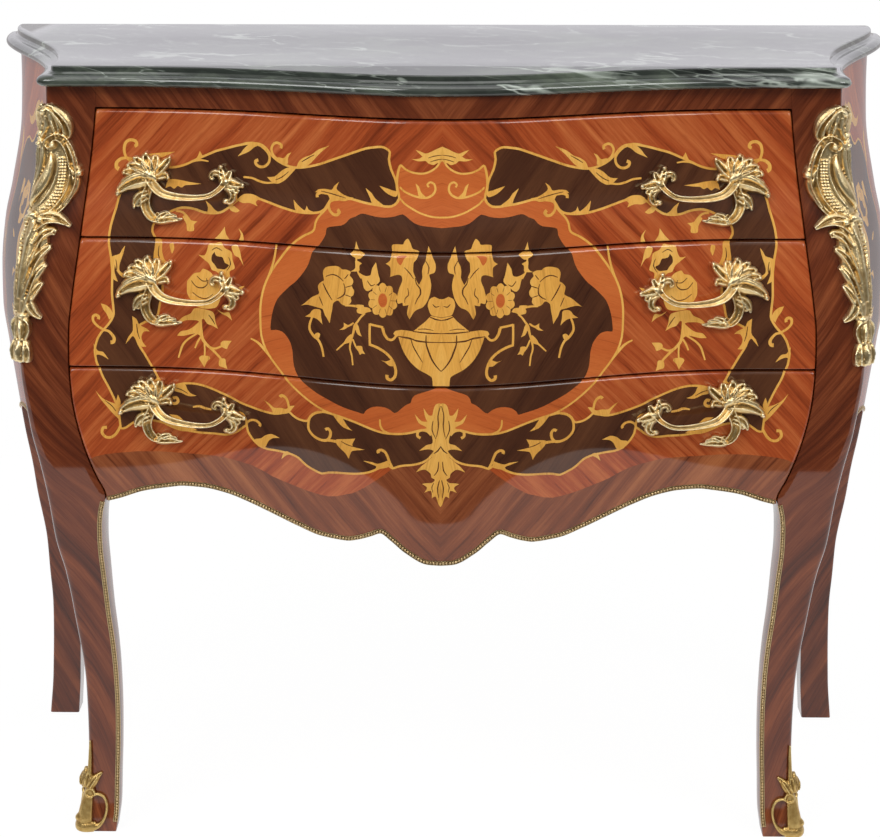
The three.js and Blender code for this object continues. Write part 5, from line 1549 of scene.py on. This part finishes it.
# Corner mounts: brass castings pinned over the front corners. A scroll round a stippled hollow, with
# a smooth boss beside it, stands over a long leaf that ends in two husks. Across, in front of the
# arris and round it.
# A grain of the stippled ground: its low start, its crest and its low end
stipple = ((18.5, 712, 4, 1.6), (18.6, 713.4, 6.6, 2.2), (18.7, 714.8, 4, 1.6))
corner_pattern = [
    # Crest
    (blade, [(3, 796, 7, 9), (-2, 805, 8, 10), (-5, 812, 8, 8), (-5, 817, 7, 4)]),
    (blade, [(6, 798, 8, 9), (5, 808, 9, 10), (3, 815, 8, 7), (1, 819, 7, 4)]),
    (rod, [(-8, 811, 6, 2), (-5.5, 814, 10, 7), (-3, 816, 6, 2)]),
    (rod, [(-2, 814, 6, 2), (1, 813, 11, 8), (4, 811, 6, 2)]),
    (rod, [(3, 808, 4, 10), (8, 798, 4.6, 18), (11, 788, 4.6, 20), (10, 778, 4.6, 17), (4, 768, 4, 10)]),
    (rod, [(3, 774, 4, 9), (3.5, 758, 4.6, 13), (0, 742, 4.6, 13), (-4, 728, 4, 9)]),
    # Hood over the scroll, with its veins
    (blade, [(3, 819, 8, 7), (11, 814.5, 9.5, 13), (19, 806, 10.5, 17), (24, 797, 10, 15),
     (25, 789, 8.5, 10), (22, 783, 7.5, 5)]),
    (rod, [(9, 817, 10, 2), (18, 810, 12.5, 3), (25, 801, 12, 3), (28, 792, 9, 2.5)]),
    (rod, [(8, 813, 9, 2), (15, 806, 11.5, 3), (20, 798, 11.5, 3), (21, 789, 9, 2)]),
    (blade, [(6, 812, 8, 8), (10, 804, 9, 10), (13, 795, 9, 10), (14, 787, 8, 7)]),
    (blade, [(1, 810, 7, 7), (1, 801, 8, 9), (0, 793, 8, 8), (-3, 786, 7, 5)]),
    (rod, [(-5, 788, 6, 2), (-3, 790.5, 10, 6), (-1, 793, 6, 2)]),
    # Main scroll: the eye at the top, the rim down the inner side
    (strap, [(9, 775, 9, 4), (5.5, 778.5, 10, 5), (6.5, 784, 10.5, 6.5), (13, 787.5, 10.5, 8),
     (20, 784.5, 10.5, 9), (26, 776, 10, 10), (30, 766, 10, 11), (33, 754, 10, 11.5), (34.5, 742, 10, 12),
     (33, 730, 10, 12), (28.5, 719, 9.5, 11.5), (21, 709.5, 9, 10), (12, 703, 8, 7)]),
    (rod, [(6.5, 781, 9, 3), (9.5, 779, 12.5, 7.5), (13, 777, 9, 3)]),
    (rod, [(24, 781, 9, 2), (30, 770, 12.5, 3), (34, 757, 12.5, 3), (37, 742, 12.5, 3), (35, 729, 12, 3),
     (30, 717, 10, 2)]),
    # Rim on the outer side of the hollow, and the long smooth boss beside it
    (rod, [(0, 782, 8, 4), (1, 768, 9, 4), (0, 754, 9.5, 4), (-3, 738, 9.5, 4), (-7, 724, 9, 4),
     (-11, 713, 8, 4), (-13, 708, 7, 3)]),
    (rod, [(8, 770, 6, 2), (8.5, 760, 10, 7), (6, 746, 11.5, 9.5), (1.5, 732, 11, 9), (-4, 720, 9, 6),
     (-8, 713, 6, 2)]),
    # Bed of the hollow
    (rod, [(14, 776, 4, 14), (18, 760, 4.6, 24), (18, 744, 4.6, 27), (14, 728, 4.6, 27), (7, 712, 4.4, 20),
     (0, 702, 3, 10)]),
    (rod, [(13, 774, 4, 3), (15.5, 760, 6, 4), (15, 745, 6.4, 4), (11, 730, 6, 4), (4, 716, 5, 3)]),
    # Spur on the inner side and the husk under it
    (blade, [(30, 758, 9, 11), (35, 753, 11, 14), (39.5, 750, 10, 10), (43, 749.5, 8.5, 5)]),
    (rod, [(36, 754, 9, 2), (39.5, 750, 13, 8), (43, 747, 9, 2)]),
    (blade, [(33, 749, 9, 8), (37, 743, 10.5, 10), (38.5, 736, 9.5, 8.5), (37, 728, 8.5, 7),
     (34, 721, 8, 4)]),
    # Knobs between the scroll and the leaf, and the spur to the front
    (rod, [(-11, 706, 6, 3), (-8, 702, 10.5, 8), (-5, 698, 6, 3)]),
    (rod, [(-3, 709, 7, 3), (0, 706, 10.5, 8), (3, 703, 7, 3)]),
    (rod, [(6, 706, 7, 3), (9, 702, 10, 7), (12, 698, 7, 3)]),
    (blade, [(8, 705, 8, 8), (17, 706, 10, 13), (26, 704, 10, 13), (34, 700, 9, 9), (42, 695, 8, 4)]),
    (rod, [(6, 690, 8, 2), (14, 698, 12, 2.6), (24, 700, 12.5, 2.6), (36, 697, 10, 2)]),
    # Long leaf: its body, and its lobes from the top one down
    (blade, [(5, 704, 7, 14), (9, 690, 8.5, 24), (10, 672, 9, 26), (9, 652, 9, 25), (8, 632, 8.5, 22),
     (7, 614, 8, 17), (6, 600, 7, 10)]),
    (blade, [(8, 676, 9, 10), (15, 687, 10.5, 14), (22, 690, 10, 12), (28, 688, 8.5, 7)]),
    (blade, [(8, 655, 9, 10), (15, 666, 10.5, 13), (21, 672, 10, 11), (26, 674, 8.5, 6)]),
    (blade, [(8, 634, 9, 10), (14, 645, 10.5, 13), (19, 652, 10, 11), (23.5, 656, 8.5, 6)]),
    (blade, [(7, 614, 8.5, 9), (12, 624, 10, 12), (17.5, 632, 9.5, 10), (22, 637, 8, 5)]),
    (blade, [(7, 626, 8.5, 10), (10, 614, 10, 13), (15, 606, 9.5, 11), (20, 601.5, 8.5, 7),
     (24, 599.5, 8, 4)]),
    # Veins that run up into the lobes
    (rod, [(4, 640, 9.5, 2.2), (8, 664, 12, 2.6), (15, 684, 12.5, 2.6), (25, 690, 10, 2)]),
    (rod, [(4, 618, 9, 2.2), (9, 644, 12, 2.6), (16, 664, 12, 2.6), (25, 674, 9.5, 2)]),
    (rod, [(5, 606, 8.5, 2.2), (9, 626, 11.5, 2.6), (15, 645, 11.5, 2.6), (22, 655, 9.5, 2)]),
    (rod, [(0, 620, 9, 2.2), (1, 650, 11, 2.4), (2, 680, 11, 2.4), (5, 698, 9, 2)]),
    # Husks at the foot, the lower one a rounded shell
    (blade, [(2, 603, 7, 6), (6, 596, 9.5, 12), (7, 587, 10, 15), (6, 579, 9, 11), (5, 575, 7, 6)]),
    (rod, [(3, 600, 8, 2), (9, 596, 11.5, 2.6), (12, 588, 11.5, 2.6), (9, 579, 9, 2)]),
    (rod, [(2, 598, 8, 2), (4, 589, 12, 2.6), (4, 580, 10, 2)]),
    (blade, [(3, 577, 7, 7), (6, 571, 10, 15), (7, 562, 10.5, 18), (7, 555, 9.5, 17), (7, 552, 8, 14)]),
    (rod, [(3, 574, 8, 2), (2, 565, 12, 2.6), (2, 554, 10, 2.4)]),
    (rod, [(7, 575, 9, 2), (7.5, 565, 13, 2.6), (7, 553, 10.5, 2.4)]),
    (rod, [(9, 574, 8, 2), (13, 565, 12, 2.6), (12, 554, 10, 2.4)]),
    (rod, [(0, 604, 7, 3), (4, 602, 10.5, 7), (8, 601, 7, 3)]),
] + [
    # Stippled ground of the hollow: rows of small grains
    (rod, [(aside + column * 3 - abs(row - 9) * 0.13 - max(5 - row, 0) * 1.3, up + row * 3.2, crest, width)
           for aside, up, crest, width in stipple])
    for row in range(17) for column in range(3)
] + [
    # Beads along the arris
    (rod, [(-4.5, up - 1.6, 5, 2), (-4.5, up, 10, 3.6), (-4.5, up + 1.6, 5, 2)])
    for up in range(606, 700, 4)
]
# The same forms, narrower, on the side of the chest
corner_round_side = [
    (section, [(-across * 0.56, up, crest * 0.9, width * 0.8) for across, up, crest, width in points])
    for section, points in corner_pattern if points[len(points) // 2][0] > 5
]


def on_corner(side, across, up, rise):
    """A place over the rounded front corner of the chest: across it, up, and out from it."""
    arris, corner = arris_x(up), corner_y(up)
    inward, deep = arris - max(across, arris_soft), corner + max(-across, arris_soft)
    start, end = (inward, front_y(inward, up)), (side_x(deep, up), deep)
    t = min(max((arris_soft - across) / (2 * arris_soft), 0), 1)
    x, y = ((1 - t) ** 2 * a + 2 * t * (1 - t) * b + t * t * c
            for a, b, c in zip(start, (arris, corner), end))
    turn = math.pi / 2 * t * t * (3 - 2 * t)
    return Vector((side * (x + rise * math.sin(turn)), y - rise * math.cos(turn), up))


def corner_castings(pattern, name, node_name, metal):
    """One casting over each front corner, the left a mirror of the right."""
    for side, hand in hands:
        mount = copied(pattern)
        for vertex in mount.data.vertices:
            across, up, rise = vertex.co * millimetre
            vertex.co = on_corner(side, across, up, rise)
        if side > 0:
            mount.data.flip_normals()
        mount.data.materials.append(metal)
        finish_piece(mount, f"{name}_{hand}", "carcass", angle=180)
        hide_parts(f"{node_name}_{hand}")
    bpy.data.objects.remove(pattern)


mount_pattern = cast_pattern(corner_pattern + corner_round_side, grain=0.8)
corner_castings(mount_pattern, "corner_mount_cast", "corner_mount", brass)


# Sabots: brass shoes on the front feet, with an oval opening and a leaf that climbs the arris.
# Each fits over the front arris of its foot, as the corner mounts fit over the stiles.
sabot_pattern = [
    # Base, running up into the ring round the opening
    (rod, [(16, 6.5, 6, 12), (8, 6.5, 7.5, 12.6), (0, 6.5, 8, 12.8), (-10, 6.5, 7.5, 12.6),
     (-20, 6.5, 6.5, 12), (-26, 6, 4, 8)]),
    (rod, [(12, 5.5, 6, 9), (19, 7.5, 6, 7), (24, 13, 6, 4.6), (26.2, 21, 6, 3.6), (26, 30, 6, 3.4),
     (23.5, 37.5, 6, 3.4), (19, 42, 6, 3.6), (13, 43.5, 6, 3.6), (9, 41, 5, 3)]),
    # Body beside the opening
    (rod, [(2, 6, 6, 22), (2, 14, 7.4, 20), (2, 22, 7.6, 18), (2.2, 31, 7, 15.5), (3, 40, 6.4, 12.5),
     (3.5, 48, 6, 9)]),
    (rod, [(-6, 10, 7, 5), (-4, 15, 9.5, 8), (-2, 21, 7, 4)]),
    # Small ring over the opening
    (rod, [(11, 43, 6, 2.4), (9, 48.5, 7.4, 2.6), (4.5, 49.5, 7.4, 2.6), (2, 45.5, 7.4, 2.6),
     (4, 41, 7.4, 2.6), (9, 40, 6.4, 2.4)]),
    # Leaf with its tip to the front, and the spike
    (blade, [(3, 49, 6, 7), (7, 55, 7.6, 11), (10, 60.5, 7.2, 11), (14, 65, 5.5, 6.5), (17.5, 68, 4.5, 3)]),
    (blade, [(2, 50, 6, 5), (2.5, 57, 7.2, 7.5), (3, 64, 6.4, 7), (3.6, 71, 5, 4.6)]),
    (rod, [(6, 51, 9, 2), (9, 58, 9.6, 2.4), (13, 64, 7, 2)]),
    (rod, [(3.4, 66, 6, 5), (3, 78, 5, 4.2), (2.4, 91, 4, 3.6), (2, 103.5, 3, 2.6)]),
]
sabot_round_side = [
    (section, [(-across * 0.85, up, crest, width) for across, up, crest, width in points])
    for section, points in sabot_pattern if points[len(points) // 2][0] > 2.5
]
worn_brass = gilt_brass("gilt brass, worn", [
    (84, 60, 28), (138, 106, 58), (180, 146, 86), (222, 194, 128), (246, 228, 166)])
shoe_pattern = cast_pattern(sabot_pattern + sabot_round_side, grain=0.75)
corner_castings(shoe_pattern, "sabot_cast", "sabot", worn_brass)


# Beaded strips: drawn brass, pinned along the inner edges of the front legs, the scalloped edge
# of the bottom drawer and the lower edges of the sides.
strip_width = 0.005
bead_pitch = 0.0034
bead_radius = 0.0015
dull_brass = gilt_brass("drawn brass gone dull", [
    (84, 66, 42), (130, 106, 70), (164, 138, 98), (196, 170, 126), (214, 192, 148)])


def beaded_strip(places, name, body, node_name):
    """A row of beads on a flat strip, along places given as (centre, across, outward)."""
    lengths = [0]
    for (a, _, _), (b, _, _) in zip(places, places[1:]):
        lengths.append(lengths[-1] + (b - a).length)
    steps = 5
    count = max(round(lengths[-1] / bead_pitch), 1) * steps
    rings, i = [], 0
    for k in range(count + 1):
        at = lengths[-1] * k / count
        while i < len(places) - 2 and at > lengths[i + 1]:
            i += 1
        t = (at - lengths[i]) / (lengths[i + 1] - lengths[i])
        centre, aside, out = (p.lerp(q, t) for p, q in zip(places[i], places[i + 1]))
        bead = bead_radius * (0.35 + 0.65 * math.sqrt(abs(math.sin(math.pi * k / steps))))
        half = strip_width / 2
        section = [(-half, 0), (-half, 0.0008), (-half + 0.0007, 0.0009), (-bead, 0.0005)]
        section += [(bead * math.cos(math.radians(a)), 0.0006 + bead * math.sin(math.radians(a)))
                    for a in (150, 115, 90, 65, 30)]
        section += [(bead, 0.0005), (half - 0.0007, 0.0009), (half, 0.0008), (half, 0)]
        rings.append([centre + aside * s + out * (r + 0.0001) for s, r in section])
    size = len(rings[0])
    faces = [
        (a + k, a + (k + 1) % size, a + size + (k + 1) % size, a + size + k)
        for a in range(0, (len(rings) - 1) * size, size) for k in range(size)
    ]
    faces += [tuple(range(size)), tuple(len(rings) * size - 1 - k for k in range(size))]
    piece = sewn([corner for ring in rings for corner in ring], faces)
    face_outwards(piece)
    piece.data.materials.append(dull_brass)
    finish_piece(piece, name, body, angle=50)
    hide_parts(node_name)


for side, hand in hands:
    places = []
    for z in spread(0.011, height * apron_curve(1) - 0.0005, 90):
        x = stile_x(z) + drawer_side_gap + strip_width / 2
        lean = stile_x(z + 0.001) - stile_x(z - 0.001)
        aside = Vector((-0.002, 0, lean)).normalized()
        aside.x *= side
        places.append((Vector((side * x, front_y(x, z), z)), aside, Vector((0, -1, 0))))
    beaded_strip(places, f"beading_leg_{hand}", "carcass", f"leg_trim_{hand}")
    places = []
    for along in spread(0.005, 0.995, 120):
        y = side_front + (side_back - side_front) * along
        z = height * side_edge_curve(along) + strip_width / 2
        lean = height * (side_edge_curve(along + 0.004) - side_edge_curve(along - 0.004))
        aside = Vector((0, -lean, 0.008 * (side_back - side_front))).normalized()
        places.append((Vector((side * side_x(y, z), y, z)), aside, Vector((side, 0, 0))))
    beaded_strip(places, f"beading_side_{hand}", "carcass", f"side_trim_{hand}")
places = []
reach = stile_x(height * apron_curve(1))
for share in spread(-0.994, 0.994, 400):
    x = share * reach
    z = height * apron_curve(abs(share)) + strip_width / 2
    lean = height * (apron_curve(abs(share) + 0.003) - apron_curve(abs(share) - 0.003))
    lean = lean if share > 0 else -lean
    aside = Vector((-lean, 0, 0.006 * reach)).normalized() if abs(share) > 0.003 else Vector((0, 0, 1))
    places.append((Vector((x, front_y(x, z), z)), aside, Vector((0, -1, 0))))
beaded_strip(places, "beading_apron", "bottom_drawer", "apron_trim")


# Room: a sheet of white paper under the chest that keeps a faint shadow, a bright room behind it
# and a dim one in front, with three softboxes.
bpy.ops.object.select_all(action="DESELECT")
bpy.ops.mesh.primitive_plane_add(size=1, location=(0, 0, -0.0002))
floor = bpy.context.object
floor.name = "paper_floor"
paper_width, paper_depth, paper_middle = 5.0, 2.2, 0.3
for corner in floor.data.vertices:
    corner.co.x *= paper_width
    corner.co.y = corner.co.y * paper_depth + paper_middle


class Bare(Finish):
    """The nodes of the paper or of the room, which have no Principled shader."""

    def __init__(self, owner):
        self.material = owner
        owner.use_nodes = True
        owner.node_tree.nodes.clear()

    def ray(self, kind):
        return self.node("ShaderNodeLightPath", {}, {}, output=kind)

    def blend(self, factor, first, second):
        return self.node("ShaderNodeMixShader", {}, {0: factor, 1: first, 2: second})

    def close(self, kind, shader):
        self.feed(self.material.node_tree.nodes.new(kind).inputs["Surface"], shader)


white = (1, 1, 1, 1)
paper = bpy.data.materials.new("white paper")
sheet = Bare(paper)
lit = sheet.node("ShaderNodeBsdfDiffuse", {}, {"Color": (0.9, 0.9, 0.9, 1)})
glow = sheet.node("ShaderNodeEmission", {}, {"Strength": 1.02})
rays = {0: sheet.ray("Is Camera Ray"), 1: sheet.ray("Is Glossy Ray")}
seen = sheet.node("ShaderNodeMath", {"operation": "MAXIMUM"}, rays)
sheet.close("ShaderNodeOutputMaterial", sheet.blend(seen * 0.95, lit, glow))
floor.data.materials.append(paper)

# The room: even light, what polished faces mirror, and the white that stands behind the chest
room = bpy.data.worlds.new("room")
bpy.context.scene.world = room
walls = Bare(room)
way = walls.node("ShaderNodeTexCoord", {}, {}, output="Generated")
parts = walls.node("ShaderNodeSeparateXYZ", {}, {0: way}).socket.node
y, z = Value(walls, parts.outputs["Y"]), Value(walls, parts.outputs["Z"])
deep = walls.ramp(y, [(0.0, (0.1, 0.1, 0.1)), (0.5, (0.86, 0.84, 0.89))])
level = walls.ramp(z, [(0.0, (0.62, 0.6, 0.58)), (0.05, (1, 1, 1))])
upper = walls.ramp(z, [(0.12, (0.1, 0.1, 0.1)), (0.4, (0.52, 0.5, 0.48))])
mirrored_light = walls.mix(1.0, walls.mix(1.0, deep, level, "MULTIPLY"), upper, "LIGHTEN")
ambient = walls.node("ShaderNodeBackground", {}, {"Color": white, "Strength": 0.55})
mirrored_room = walls.node("ShaderNodeBackground", {}, {"Color": mirrored_light})
backdrop = walls.node("ShaderNodeBackground", {}, {"Color": white})
glossy = walls.blend(walls.ray("Is Glossy Ray"), ambient, mirrored_room)
walls.close("ShaderNodeOutputWorld", walls.blend(walls.ray("Is Camera Ray"), glossy, backdrop))

softboxes = [
    ((-1.5, -2.1, 2.5), (52, 0, -34), 1.3, 36),
    ((1.7, -1.9, 2.3), (50, 0, 42), 1.1, 24),
    ((0, -0.4, 3.0), (8, 0, 0), 1.6, 14),
]
for place, turn, size, power in softboxes:
    bpy.ops.object.light_add(type="AREA", location=place, rotation=[math.radians(a) for a in turn])
    lamp = bpy.context.object
    lamp.data.size = size
    lamp.data.energy = power
